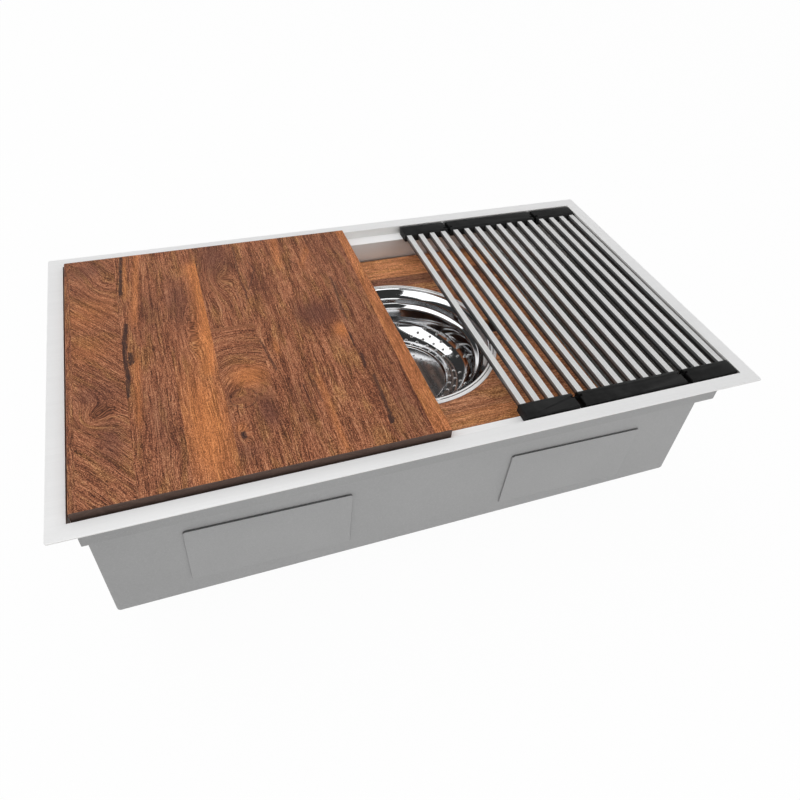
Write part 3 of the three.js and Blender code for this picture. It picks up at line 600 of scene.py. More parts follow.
def hole_swirls():
    """Leaning blocks of small holes round a spun bowl's curved wall, each hole square to the wall."""
    sizes = ("Row Turn", "Lean", "First Turn", "Floor Radius", "Wall Width")
    sizes += ("Lowest", "Ring Step", "Hole Radius", "Reach")
    g = Grower("hole_swirls", True, Int=("Blocks", "Rows", "Rings"), Float=sizes)
    rows, rings = g.input("Rows"), g.input("Rings")
    lattice = g.node(
        "GeometryNodeMeshGrid",
        {"Size X": rows - 1.0, "Size Y": rings - 1.0, "Vertices X": rows, "Vertices Y": rings},
    )
    line = g.node(
        "GeometryNodeMeshLine",
        {"Count": g.input("Blocks"), "Start Location": (0.0, 0.0, 0.0), "Offset": (0.0, 0.0, 1.0)},
        {"mode": "OFFSET"},
    )
    blocks = g.real(g.on_points(line, lattice))
    sideways, upward, block = g.axes(g.node("GeometryNodeInputPosition"))
    row = sideways + (rows - 1.0) * 0.5
    ring = upward + (rings - 1.0) * 0.5
    climb = g.input("Lowest") - ring * g.input("Ring Step")
    radius = g.input("Floor Radius") + g.input("Wall Width") * climb.alone("COSINE")
    turn = g.input("First Turn") + row * g.input("Row Turn") - ring * g.input("Lean")
    turn = turn + block * (2.0 * math.pi) / g.input("Blocks")
    start = g.vector(radius * turn.alone("COSINE"), radius * turn.alone("SINE"), 0.1)
    above = g.node("GeometryNodeSetPosition", {"Geometry": blocks, "Position": start})
    points = g.node("GeometryNodeMeshToPoints", {"Mesh": above})
    hit = g.node(
        "GeometryNodeRaycast",
        {
            "Target Geometry": g.input("Form"),
            "Source Position": g.node("GeometryNodeInputPosition"),
            "Ray Direction": (0.0, 0.0, -1.0),
            "Ray Length": 1.0,
        },
    ).socket.node
    square_to_wall = g.node(
        "FunctionNodeAlignRotationToVector",
        {"Vector": Value(g, hit.outputs["Hit Normal"])},
        {"axis": "Z"},
    )
    stored = g.node(
        "GeometryNodeStoreNamedAttribute",
        {"Geometry": points, "Name": "drill_turn", "Value": square_to_wall},
        {"data_type": "QUATERNION", "domain": "POINT"},
    )
    landed = g.node(
        "GeometryNodeSetPosition",
        {"Geometry": stored, "Position": Value(g, hit.outputs["Hit Position"])},
    )
    reach, lip = g.input("Reach"), 0.8 * MM
    drill = g.node(
        "GeometryNodeMeshCone",
        {
            "Vertices": DRILL_SIDES,
            "Radius Top": g.input("Hole Radius") + lip,
            "Radius Bottom": g.input("Hole Radius") - reach,
            "Depth": reach + lip,
        },
    )
    sunk = g.vector(0.0, 0.0, 0.0 - reach)
    drill = g.node("GeometryNodeTransform", {"Geometry": drill, "Translation": sunk})
    drill_turn = g.node(
        "GeometryNodeInputNamedAttribute", {"Name": "drill_turn"}, {"data_type": "QUATERNION"}
    )
    return g.finish_drilled(g.on_points(landed, drill, Rotation=drill_turn))


# ---------------------------------------------------------------- bowl and sound pads
def on_inner_side(centre, normal):
    """True for the sheet's inner side, and for the flange, which is bare on both sides."""
    if abs(centre.x) > BOWL_HALF_LENGTH + BEND or abs(centre.y) > RIM_HALF_DEPTH + BEND:
        return True
    inward = -(normal.x * centre.x + normal.y * centre.y) / max(math.hypot(centre.x, centre.y), MM)
    return inward + normal.z > 0.0


def bowl_finish(centre, normal):
    """Slot 0 is a wall, 1 the coat, 2 the rim, near-white and partly painted reflection, 3 the upper
    ledge, lighter still as painted light, and 4 the risers at its ends, near-black as painted shade.
    """
    if not on_inner_side(centre, normal):
        return 1
    if centre.z < UPPER_LEDGE - BEND:
        return 0
    if normal.z > 0.5:
        return 3 if centre.z < UPPER_LEDGE / 2.0 else 2
    at_end = abs(normal.x) > 0.7 and normal.z > -0.5
    return 4 if at_end and abs(centre.x) < BOWL_HALF_LENGTH + BEND else 0


def dress_bowl():
    shell = eased_copy("sink_bowl", ["sink_shell"], 0.55 * MM, 2)
    walls = brushed_steel("brushed_stainless", (0.74, 0.735, 0.72), 0.85, 0.46, 0.10)
    # The rim is brushed steel made near-white and mostly diffuse: partly painted reflection of the bright
    # surround.
    rim = brushed_steel("brushed_rim_painted_reflection", (0.91, 0.91, 0.91), 0.15, 0.52, 0.06)
    # The upper ledge is a lighter copy of the same steel: painted light where the ledge lies in shade.
    ledge_painted_light = brushed_steel("brushed_ledge_painted_light", (0.99, 0.99, 0.99), 0.05, 0.50, 0.05)
    # The end risers are a near-black copy of the same steel: painted shade.
    riser_painted_shade = brushed_steel("brushed_riser_painted_shade", (0.10, 0.10, 0.10), 0.9, 0.30, 0.10)
    settle(shell, "sink", "brushed_stainless", ["sink_shell"], walls, COAT, rim, ledge_painted_light, riser_painted_shade)
    pick(shell, lambda face: bowl_finish(face.center, face.normal))
    pads = [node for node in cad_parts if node.startswith("sound_pad_")]
    pad_piece = stand_in("sound_pads", "sink", "grey_sound_coat", pads, 0.7 * MM, 3, COAT, PAD_TOP_SHADE)
    # The pads' upturned top edges get the darker copy of the coat: painted shade.
    pick(pad_piece, lambda face: face.normal.z > UPTURNED and face.center.z > PAD_MIDDLE)


# ---------------------------------------------------------------- strainer
def lathe(name, profile, segments=96):
    """A turned piece whose profile is in millimetres."""
    mesh = turned(name, [(radius * MM, z * MM) for radius, z in profile], segments)
    smooth(mesh, 30.0)
    return new_piece(name, mesh)


def rounded(profile, radius, steps=3):
    """The profile with each corner that has room replaced by a short arc."""
    result = []
    count = len(profile)
    for i, corner in enumerate(profile):
        before = Vector(profile[i - 1])
        here = Vector(corner)
        after = Vector(profile[(i + 1) % count])
        back, ahead = before - here, after - here
        reach = min(radius, back.length * 0.45, ahead.length * 0.45)
        if corner[0] <= 1e-9 or reach < 0.02:
            result.append(tuple(corner))
            continue
        start = here + back.normalized() * reach
        end = here + ahead.normalized() * reach
        for step in range(steps + 1):
            t = step / steps
            point = start * (1 - t) ** 2 + here * 2 * t * (1 - t) + end * t**2
            result.append((point.x, point.y))
    return result


def drill_rings(piece, rings, hole_radius, reach, height, material):
    """Rings of holes (ring radius, count) in a floor, all in millimetres."""
    ring_form = hole_ring()
    for radius, count in rings:
        ring_form.grow(
            piece,
            Count=count,
            Ring_Radius=radius * MM,
            Hole_Radius=hole_radius * MM,
            Reach=reach * MM,
            Centre=(0.0, 0.0, height * MM),
            Material=material,
        )
    smooth(piece.data, 30.0)
    piece.data.materials.clear()


# Millimetres, as in the solids.
DRAIN_SEAT = -240.5
STRAINER_WALL = 1.5
STRAINER_DEPTH = 50.0
BASKET_WALL = 0.9
BASKET_DEPTH = 33.0
STOPPER_THICKNESS = 4.0


def dress_strainer():
    polished = mirror_steel("bright_stainless", 0.10)
    top = DRAIN_SEAT + 1.8
    under = top - STRAINER_WALL
    low = top - STRAINER_DEPTH
    profile = [(42.0, top), (42.0, low + 13.0), (25.5, low), (17.5, low - 1.5), (17.5, low - 18.0)]
    profile += [(19.0, low - 18.0), (19.0, low - 3.75), (27.0, low - 1.5), (43.5, low + 12.25)]
    profile += [(43.5, under), (57.0, under), (57.0, under + 0.5), (55.5, top)]
    body = lathe("strainer_cup", rounded(profile, 0.9))
    settle(body, "sink", "bright_stainless", ["strainer_body"], polished)
    for name, node, slot, width, segments, material in (
        ("strainer_seal", "strainer_gasket", "black_rubber", 0.5, 3, RUBBER),
        ("strainer_slip_washer", "strainer_friction_washer", "fibre_washer", 0.2, 2, fibre()),
        ("strainer_nut", "strainer_locknut", "cast_nut_metal", 0.8, 3, cast_nut_metal()),
    ):
        stand_in(name, "sink", slot, [node], width * MM, segments, material)

    rim = top - 2.0
    floor = rim - BASKET_DEPTH
    profile = [(3.3, floor - BASKET_WALL), (31.5, floor - BASKET_WALL), (34.4, floor + 2.0)]
    profile += [(39.5, rim - 2.5), (41.5, rim - 1.2), (41.5, rim), (38.5, rim - 0.9)]
    profile += [(32.5, floor + 3.0), (30.5, floor), (3.3, floor)]
    basket = lathe("basket_cup", rounded(profile, 1.0), 72)
    drill_rings(basket, ((27.5, 16), (22.5, 12), (17.0, 8)), 1.5, 6.0, floor, polished)
    settle(basket, "basket", "bright_stainless", ["strainer_basket"], polished)
    stopper = ["strainer_stopper"]
    stand_in("basket_stopper", "basket", "black_rubber", stopper, 0.8 * MM, 3, RUBBER)
    foot = floor - BASKET_WALL - 0.3 - STOPPER_THICKNESS - 1.0
    crown = rim + 4.0
    profile = [(0.0, foot), (3.0, foot), (3.0, crown - 9.0), (7.5, crown - 9.0)]
    profile += [(10.0, crown - 6.5), (10.0, crown - 2.5), (8.0, crown), (0.0, crown)]
    post = lathe("basket_post", rounded(profile, 1.2), 48)
    settle(post, "basket", "bright_stainless", ["strainer_post"], polished)


# ---------------------------------------------------------------- wooden boards
BOARD_LOW = np.array((-397.1, -218.0, -12.2))
BOARD_HIGH = np.array((-2.1, 218.0, 7.8))
BOARD_EASE = 1.4
EASE_STEPS = (0.42, 0.73, 1.0)
FAR_OFF = 1e3


def stave(front, back, light, **marks):
    """One glued stave: where its left edge lies at the front and back, how light it is, and its marks."""
    return {"front": front, "back": back, "light": light, **marks}


# glow and dusk spots: x, y, half width, half length, strength, turn in degrees
# glow streaks: half width, strength, then points from back to front
# veins: half width, then points from back to front
# swells: places where the growth rings bulge, x, y, half width, half length, push
STAVES = (
    stave(-397.1, -397.1, 0.44, dusk=0.15),
    stave(
        -389.5,
        -390.5,
        0.46,
        grain_turn=37.0,
        glow_spots=((-371, 93, 30, 40, 0.35, -50), (-371, 22, 28, 26, 0.30, 0)),
        dusk_spots=(
            (-369, 193, 28, 22, 0.6, 0),
            (-365, -60, 28, 22, 0.6, 0),
            (-354, -135, 14, 32, 0.7, 0),
        ),
        swells=((-371, -95, 17, 20, 24), (-352, 150, 22, 34, 14)),
    ),
    stave(
        -334.3,
        -334.3,
        0.50,
        glow_streaks=(
            (4.0, 0.6, (-318.6, -21), (-323, -107)),
            (5.0, 0.55, (-303, 214), (-309, 130), (-315, 70)),
            (3.0, 0.5, (-319, 214), (-322, 130)),
        ),
        dusk_spots=((-297, 77, 14, 45, 0.5, 0), (-303, -120, 16, 70, 0.4, 0)),
        veins=(
            (2.1, (-323.5, 214), (-327.1, 165), (-329.5, 125)),
            (2.3, (-327, 60), (-331.0, 27), (-332.0, -11), (-331.0, -35), (-333.5, -72)),
            (2.4, (-325.1, 2), (-325.1, -15)),
        ),
    ),
    stave(
        -281.4,
        -278.6,
        0.54,
        glow_streaks=(
            (10.0, 1.0, (-229.5, 165), (-228.5, 120), (-230.5, 51), (-235, -7), (-240, -49)),
        ),
        glow_spots=((-256, -140, 26, 95, 0.9, 0),),
        dusk_spots=((-262, 93, 18, 55, 0.7, 0),),
        swells=((-258, 20, 10, 60, 12),),
    ),
    stave(
        -232.9,
        -227.1,
        0.48,
        glow_spots=((-200, -72, 22, 20, 0.8, 0), (-223, -152, 7, 9, 0.5, 0)),
        dusk_spots=(
            (-200, 185, 26, 55, 0.8, 0),
            (-189, -135, 14, 28, 0.9, 0),
            (-222, -188, 20, 14, 0.5, 0),
        ),
        arcs=((-203, -104, 0.85, -112, 22),),
        knots=((-212, -107, 15.0, 15.0),),
        swells=((-204, 130, 16, 34, 18), (-222, -163, 6, 8, 9)),
        veins=((3.0, (-222.3, -160), (-222.3, -166)),),
    ),
    stave(
        -175.7,
        -175.7,
        0.52,
        glow_streaks=((4.0, 0.5, (-121.4, -106), (-121.4, -206)),),
        glow_spots=((-158.6, -29, 3.5, 16, 0.6, 0),),
        dusk_spots=((-154, 108, 20, 40, 0.35, 0), (-151, -135, 16, 50, 0.3, 0)),
        veins=(
            (1.1, (-171.4, 205), (-175.7, 122), (-173, 96), (-174.3, 79)),
            (1.0, (-157, 165), (-152, 142), (-161.4, 116), (-167.1, 99)),
            (1.3, (-174.3, -12), (-171.4, -35), (-167.1, -69)),
            (0.9, (-130, -101), (-128.6, -135)),
            (0.7, (-142.9, -104), (-141.4, -135)),
        ),
    ),
    stave(
        -122.9,
        -122.9,
        0.52,
        glow_streaks=(
            (6.0, 0.5, (-108.6, 216), (-114.3, 156)),
            (5.0, 0.4, (-68.6, 171), (-82.9, 145)),
            (4.0, 0.5, (-121.4, -106), (-121.4, -206)),
        ),
        glow_spots=((-72, -16, 10, 17, 0.9, 0),),
        dusk_spots=((-96, 25, 32, 30, 1.0, 0),),
        veins=((1.0, (-100, 156), (-91.4, 139)),),
    ),
    stave(
        -65.7,
        -65.7,
        0.50,
        dusk=0.25,
        dusk_spots=((-37, -163, 20, 60, 0.45, 0),),
        veins=(
            (1.4, (-54.3, 99), (-55.7, 62), (-60, 22), (-58.6, 5)),
            (1.0, (-45.7, 85), (-45.7, 51)),
            (2.0, (-64.3, -27), (-67.1, -52)),
            (1.6, (-61.4, -67), (-62.9, -87), (-67.1, -95)),
            (1.6, (-58.6, -109), (-60, -149), (-61.4, -178)),
            (5.0, (-64.3, -181), (-64.3, -187)),
        ),
    ),
    stave(-22.9, -14.3, 0.56, glow=0.5, glow_spots=((-10, -120, 30, 120, 0.5, 0),)),
)


def rise(value, low, high):
    t = np.clip((value - low) / (high - low), 0.0, 1.0)
    return t * t * (3.0 - 2.0 * t)


def spread(x, y, spot):
    """How strongly a soft oval spot colours each place."""
    cx, cy, half_width, half_length, strength, turn = spot
    c, s = math.cos(math.radians(turn)), math.sin(math.radians(turn))
    u = ((x - cx) * c + (y - cy) * s) / half_width
    v = ((y - cy) * c - (x - cx) * s) / half_length
    return strength * np.exp(-1.1 * (u * u + v * v) ** 1.25)


def along_line(x, y, points):
    """Sideways distance to a line drawn from back to front, and how far past its ends each place is."""
    xs = np.array([p[0] for p in points][::-1], float)
    ys = np.array([p[1] for p in points][::-1], float)
    past = np.maximum(np.maximum(ys[0] - y, y - ys[-1]), 0.0)
    return x - np.interp(y, ys, xs), past


def stave_marks(x, y, marks):
    """Glow, dusk and the two nearest veins at each place of one stave."""
    glow = np.full_like(x, marks.get("glow", 0.0))
    dusk = np.full_like(x, marks.get("dusk", 0.0))
    for spot in marks.get("glow_spots", ()):
        glow = np.maximum(glow, spread(x, y, spot))
    for spot in marks.get("dusk_spots", ()):
        dusk = np.maximum(dusk, spread(x, y, spot))
    for half_width, strength, *points in marks.get("glow_streaks", ()):
        off, past = along_line(x, y, points)
        lean = np.where(off < 0.0, half_width * 1.4, half_width * 0.6)
        streak = strength * np.exp(-((off / lean) ** 2) - (past / 16.0) ** 2)
        glow = np.maximum(glow, streak)
    nearest = [(np.full_like(x, FAR_OFF), np.zeros_like(x)) for _ in range(2)]
    veins = marks.get("veins", ())
    lines = [(half_width, *along_line(x, y, points)) for half_width, *points in veins]
    for cx, cy, half_across, half_along in marks.get("knots", ()):
        rounds = np.hypot((x - cx) / half_across, (y - cy) / half_along)
        lines.append((0.5, (rounds - 1.0) * min(half_across, half_along), np.zeros_like(x)))
    for half_width, off, past in lines:
        width = half_width * np.clip(1.0 - past / 5.0, 0.0, 1.0)
        off = np.where(width > 0.0, off, FAR_OFF)
        for i, (kept_off, kept_width) in enumerate(nearest):
            closer = np.abs(off) - width < np.abs(kept_off) - kept_width
            nearest[i] = (np.where(closer, off, kept_off), np.where(closer, width, kept_width))
            off = np.where(closer, kept_off, off)
            width = np.where(closer, kept_width, width)
    return glow, dusk, nearest


def stave_grain(x, y, marks, number):
    """Millimetres across and along the grain, bent round swells in the growth rings."""
    turn = math.radians(marks.get("grain_turn", 0.0))
    across = x * math.cos(turn) + y * math.sin(turn)
    along = y * math.cos(turn) - x * math.sin(turn)
    for cx, cy, half_width, half_length, push in marks.get("swells", ()):
        u, v = (x - cx) / half_width, (y - cy) / half_length
        across = across + push * np.exp(-(u**2) - v**2)
    for cx, cy, squeeze, low, high in marks.get("arcs", ()):
        u, v = x - cx, (y - cy) * squeeze
        share = rise(y, high + 2.0, high - 2.0) * rise(y, low - 2.0, low + 2.0)
        across = across + (np.hypot(u, v) - 60.0 - across) * share
        along = along + (np.arctan2(v, u) * 70.0 - along) * share
    return across + 83.0 * number, along + 611.0 * number


def eased_steps(low, high, inner):
    """Grid places from low to high, close together where the edge is rounded."""
    near = [BOARD_EASE * t for t in (0.0, *EASE_STEPS)]
    middle = [v for v in inner if low + BOARD_EASE * 1.4 < v < high - BOARD_EASE * 1.4]
    return np.array([low + v for v in near] + middle + [high - v for v in near[::-1]])


def board_columns():
    """The x of each grid column at the front and back, and the stave of each gap between them."""
    right = BOARD_HIGH[0]
    edges = [(s["front"], s["back"]) for s in STAVES] + [(right, right)]
    fronts, backs, owners = [], [], []
    for number, ((f0, b0), (f1, b1)) in enumerate(zip(edges, edges[1:])):
        count = max(2, round((f1 - f0) / 2.8))
        for i in range(count):
            fronts.append(f0 + (f1 - f0) * i / count)
            backs.append(b0 + (b1 - b0) * i / count)
            owners.append(number)
    near = [BOARD_EASE * t for t in EASE_STEPS]
    fronts = [fronts[0]] + [fronts[0] + v for v in near] + fronts[1:]
    backs = [backs[0]] + [backs[0] + v for v in near] + backs[1:]
    owners = [owners[0]] * 3 + owners
    tail = [right - v for v in near[::-1]] + [right]
    return np.array(fronts + tail), np.array(backs + tail), owners + [owners[-1]] * 3


def dress_board():
    fronts, backs, owners = board_columns()
    ys = eased_steps(BOARD_LOW[1], BOARD_HIGH[1], list(np.arange(-215.0, 216.0, 3.0)))
    zs = eased_steps(BOARD_LOW[2], BOARD_HIGH[2], [-8.0, -4.0, 0.0, 4.0])
    nx, ny, nz = len(fronts), len(ys), len(zs)
    number = {}
    corners = []

    def vertex(i, j, k):
        key = (i, j, k)
        if key not in number:
            part = (ys[j] - ys[0]) / (ys[-1] - ys[0])
            number[key] = len(corners)
            corners.append((fronts[i] + (backs[i] - fronts[i]) * part, ys[j], zs[k]))
        return number[key]

    faces, sides, staves = [], [], []

    def add(side, owner, *places):
        faces.append(tuple(vertex(*place) for place in places))
        sides.append(side)
        staves.append(owner)

    right, back, top = nx - 1, ny - 1, nz - 1
    for i in range(right):
        i1 = i + 1
        for j in range(back):
            j1 = j + 1
            add("top", owners[i], (i, j, top), (i1, j, top), (i1, j1, top), (i, j1, top))
            add("bottom", owners[i], (i, j, 0), (i, j1, 0), (i1, j1, 0), (i1, j, 0))
        for k in range(top):
            k1 = k + 1
            add("end", owners[i], (i, 0, k), (i1, 0, k), (i1, 0, k1), (i, 0, k1))
            add("end", owners[i], (i, back, k), (i, back, k1), (i1, back, k1), (i1, back, k))
    for j in range(back):
        j1 = j + 1
        for k in range(top):
            k1 = k + 1
            add("left", 0, (0, j, k), (0, j, k1), (0, j1, k1), (0, j1, k))
            add("right", owners[-1], (right, j, k), (right, j1, k), (right, j1, k1), (right, j, k1))

    flat = np.array(corners)
    inner = np.clip(flat, BOARD_LOW + BOARD_EASE, BOARD_HIGH - BOARD_EASE)
    away = flat - inner
    size = np.linalg.norm(away, axis=1, keepdims=True)
    eased = inner + away / np.maximum(size, 1e-9) * BOARD_EASE
    mesh = bpy.data.meshes.new("board_slab")
    mesh.from_pydata([tuple(v) for v in eased * MM], [], faces)
    paint_board(mesh, flat, faces, sides, staves)
    mesh.polygons.foreach_set("use_smooth", [True] * len(faces))
    piece = new_piece("board_slab", mesh)
    wood = oiled_wood("red_brown_wood", (1.15, 1.05, 0.90))
    ends = end_grain("red_brown_wood_ends", True)
    settle(piece, "board", "red_brown_wood", ["cutting_board"], wood, ends)
    mesh.polygons.foreach_set("material_index", [1 if side == "end" else 0 for side in sides])


def paint_board(mesh, flat, faces, sides, staves):
    loops = np.array(faces).reshape(-1)
    x, y, z = flat[loops].T
    side = np.repeat(np.array(sides), 4)
    owner = np.repeat(np.array(staves), 4)
    x = np.where(side == "left", x - (BOARD_HIGH[2] - z), x)
    x = np.where(side == "right", x + (BOARD_HIGH[2] - z), x)
    grain = np.zeros((len(loops), 2))
    tone = np.ones((len(loops), 4))
    vein_a = np.zeros((len(loops), 3))
    vein_b = np.zeros((len(loops), 3))
    for index, marks in enumerate(STAVES):
        mine = owner == index
        grain[mine] = np.column_stack(stave_grain(x[mine], y[mine], marks, index))
        glow, dusk, veins = stave_marks(x[mine], y[mine], marks)
        light = np.full_like(glow, marks["light"])
        tone[mine] = np.column_stack((glow, dusk, light, np.ones_like(glow)))
        for store, (off, width) in zip((vein_a, vein_b), veins):
            store[mine] = np.column_stack((off, width, np.zeros_like(off)))
    under = side == "bottom"
    grain[under] += (37.0, 290.0)
    vein_a[under] = vein_b[under] = (FAR_OFF, 0.0, 0.0)
    store_wood(mesh, grain, tone, vein_a, vein_b)


def store_wood(mesh, grain, tone, vein_a, vein_b):
    mesh.uv_layers.new(name="grain").data.foreach_set("uv", grain.ravel())
    mesh.color_attributes.new("tone", "FLOAT_COLOR", "CORNER").data.foreach_set("color", tone.ravel())
    for name, vein in (("vein_a", vein_a), ("vein_b", vein_b)):
        mesh.attributes.new(name, "FLOAT_VECTOR", "CORNER").data.foreach_set("vector", vein.ravel())


# The platform's staves lie along X: front edge, lightness, glow, dusk.
PLATFORM_STAVES = (
    (-203.0, 0.56, 0.35, 0.0),
    (-152.0, 0.50, 0.10, 0.1),
    (-98.0, 0.52, 0.20, 0.0),
    (-46.0, 0.48, 0.05, 0.2),
    (10.0, 0.52, 0.15, 0.0),
    (66.0, 0.50, 0.10, 0.1),
    (124.0, 0.40, 0.00, 0.6),
    (147.0, 0.86, 0.35, 0.0),
)


def dress_platform():
    piece = eased_copy("platform_slab", ["colander_platform"], 1.5 * MM, 3, 50.0)
    form = bmesh.new()
    form.from_mesh(piece.data)
    for edge, *_ in PLATFORM_STAVES[1:]:
        bmesh.ops.bisect_plane(
            form,
            geom=form.verts[:] + form.edges[:] + form.faces[:],
            dist=1e-6,
            plane_co=(0.0, edge * MM, 0.0),
            plane_no=(0.0, 1.0, 0.0),
        )
    form.to_mesh(piece.data)
    form.free()
    mesh = piece.data
    smooth(mesh, 40.0)
    corner_count = len(mesh.loops)
    grain = np.zeros((corner_count, 2))
    tone = np.ones((corner_count, 4))
    none = np.tile((FAR_OFF, 0.0, 0.0), (corner_count, 1))
    top = max(v.co.z for v in mesh.vertices)
    ends = []
    for face in mesh.polygons:
        reached = face.center.y + 1e-9
        owner = max(i for i, row in enumerate(PLATFORM_STAVES) if row[0] * MM <= reached)
        _, light, glow, dusk = PLATFORM_STAVES[owner]
        ends.append(1 if abs(face.normal.x) > 0.75 else 0)
        for loop in face.loop_indices:
            place = mesh.vertices[mesh.loops[loop].vertex_index].co
            down = (top - place.z) if abs(face.normal.z) < 0.75 else 0.0
            grain[loop] = (
                (place.y + down) / MM + 71.0 * owner + 400.0,
                place.x / MM + 547.0 * owner + (230.0 if face.normal.z < -0.5 else 0.0),
            )
            tone[loop] = (glow, dusk, light, 1.0)
    store_wood(mesh, grain, tone, none, none)
    wood = oiled_wood("orange_brown_wood", (1.50, 1.56, 1.42))
    cut = end_grain("orange_brown_wood_ends", False)
    settle(piece, "platform", "orange_brown_wood", ["colander_platform"], wood, cut)
    mesh.polygons.foreach_set("material_index", ends)


# ---------------------------------------------------------------- colander
COLANDER_CENTRE = (21.0, -1.5, -42.0)
LIP_GROOVE = (124.6, 125.7)
LIP_RADIUS = 122.3
CUT_GAP = 0.12


def nearest_gap(place, line):
    """How far a place (radius, z) is from a line of such places."""
    best = math.inf
    for (r0, z0), (r1, z1) in zip(line, line[1:]):
        dr, dz = r1 - r0, z1 - z0
        share = ((place[0] - r0) * dr + (place[1] - z0) * dz) / max(dr * dr + dz * dz, 1e-12)
        share = min(max(share, 0.0), 1.0)
        best = min(best, math.hypot(place[0] - r0 - dr * share, place[1] - z0 - dz * share))
    return best


def colander_faces():
    """In millimetres: the inner face from the rolled lip to the centre, and the outer face back up."""
    sheet = 0.9
    inner = [(130.0, 0.9), (129.85, 1.2), (129.5, 1.45), (128.9, 1.62), (126.2, 2.24), (125.7, 2.34)]
    inner += [(125.3, 2.12), (124.9, 2.12), (124.5, 2.62), (123.3, 2.93), (122.6, 2.93), (122.1, 2.75)]
    inner += [(121.6, 2.35), (121.2, 1.7), (120.8, 0.8), (120.4, 0.2), (119.7, -0.4)]
    inner += [(115.0, -4.0), (110.6, -8.0), (109.9, -9.2), (109.6, -10.8), (109.4, -16.0)]
    inner += [(109.2, -16.9), (108.7, -17.6), (107.9, -18.2), (107.3, -18.6), (104.3, -20.7)]
    inner += [(103.7, -21.2), (103.2, -22.2), (103.0, -24.0)]
    inner += [(103.0, -30.0), (103.0, -38.0), (102.9, -45.0), (102.6, -48.6)]
    for step in range(12, 25):
        turn = math.radians(90.0 * step / 24)
        inner.append((71.95 + 42.45 * math.cos(turn), 1.2 - 19.6 - 46.4 * math.sin(turn)))
    for step in range(0, 9):
        turn = step / 8
        inner.append((70.5 - 5.0 * turn, -64.8 + 1.25 * (1.0 - math.cos(2.0 * math.pi * turn))))
    inner += [(60.0, -64.8), (48.0, -64.8), (30.0, -64.8), (12.0, -64.8), (0.0, -64.8)]
    outer = []
    for i in range(len(inner) - 1, 16, -1):
        r, z = inner[i]
        r0, z0 = inner[i - 1]
        r1, z1 = inner[min(i + 1, len(inner) - 1)]
        size = math.hypot(r1 - r0, z1 - z0)
        radius = max(r + (z0 - z1) / size * sheet, 0.0) if r > 0.0 else 0.0
        outer.append((radius, z - (r0 - r1) / size * sheet))
    return inner, outer + [(121.4, -0.2), (122.4, 0.1), (129.5, 0.2), (129.9, 0.5), inner[0]]


def dress_colander():
    inner, outer = colander_faces()
    bowl = lathe("colander_bowl", inner + outer[:-1], 128)
    polished = mirror_steel("mirror_stainless", 0.07, (COLANDER_CENTRE[2] - 64.8) * MM)
    hole_swirls().grow(
        bowl,
        Blocks=5,
        Rows=5,
        Rings=5,
        Row_Turn=math.radians(12.0),
        Lean=math.radians(4.9),
        First_Turn=math.radians(20.0),
        Floor_Radius=71.95 * MM,
        Wall_Width=42.45 * MM,
        Lowest=math.radians(88.5),
        Ring_Step=math.radians(10.6),
        Hole_Radius=2.3 * MM,
        Reach=1.9 * MM,
        Material=polished,
    )
    drill_rings(bowl, ((50.0, 24), (30.0, 12)), 1.7, 8.0, -65.2, polished)
    bowl.data.transform(Matrix.Translation(Vector(COLANDER_CENTRE) * MM))
    # White, diffuse steel on the holes' cut walls and the lip's upturned faces: partly the duller cut
    # edges, partly painted highlight where polished steel would catch the lamp.
    cut_edges_and_lip_highlight = bar_steel("colander_cut_edges_painted_highlight", (0.99, 0.99, 0.99), 0.0, 0.42)
    settle(bowl, "colander", "mirror_stainless", ["colander"], polished, cut_edges_and_lip_highlight)

    # Cut faces, and the lip's upturned faces outside its groove, which carry the painted highlight.
    def is_cut_edge_or_lip_highlight(face):
        middle = face.center / MM - Vector(COLANDER_CENTRE)
        place = (math.hypot(middle.x, middle.y), middle.z)
        cut = min(nearest_gap(place, inner), nearest_gap(place, outer)) > CUT_GAP
        groove = LIP_GROOVE[0] < place[0] < LIP_GROOVE[1]
        return cut or (place[0] > LIP_RADIUS and face.normal.z > 0.2 and not groove)

    pick(bowl, is_cut_edge_or_lip_highlight)


# ---------------------------------------------------------------- folding rack
FOLDS = (168.4 * MM, 324.55 * MM)
KNUCKLE_REACH = 12.0 * MM
SLEEVE_END_REACH = 3.5 * MM
SLEEVE_END_TRIM = 1.2 * MM
FIRST_ROD_X = {"left": 99.95 * MM, "middle": 179.1 * MM, "right": 335.25 * MM}


def in_fold_shade(face):
    """True for a sleeve's end face at a fold, which gets the near-black silicone as painted shade."""
    by_fold = any(abs(face.center.x - fold) < KNUCKLE_REACH for fold in FOLDS)
    return abs(face.normal.x) > 0.6 and by_fold


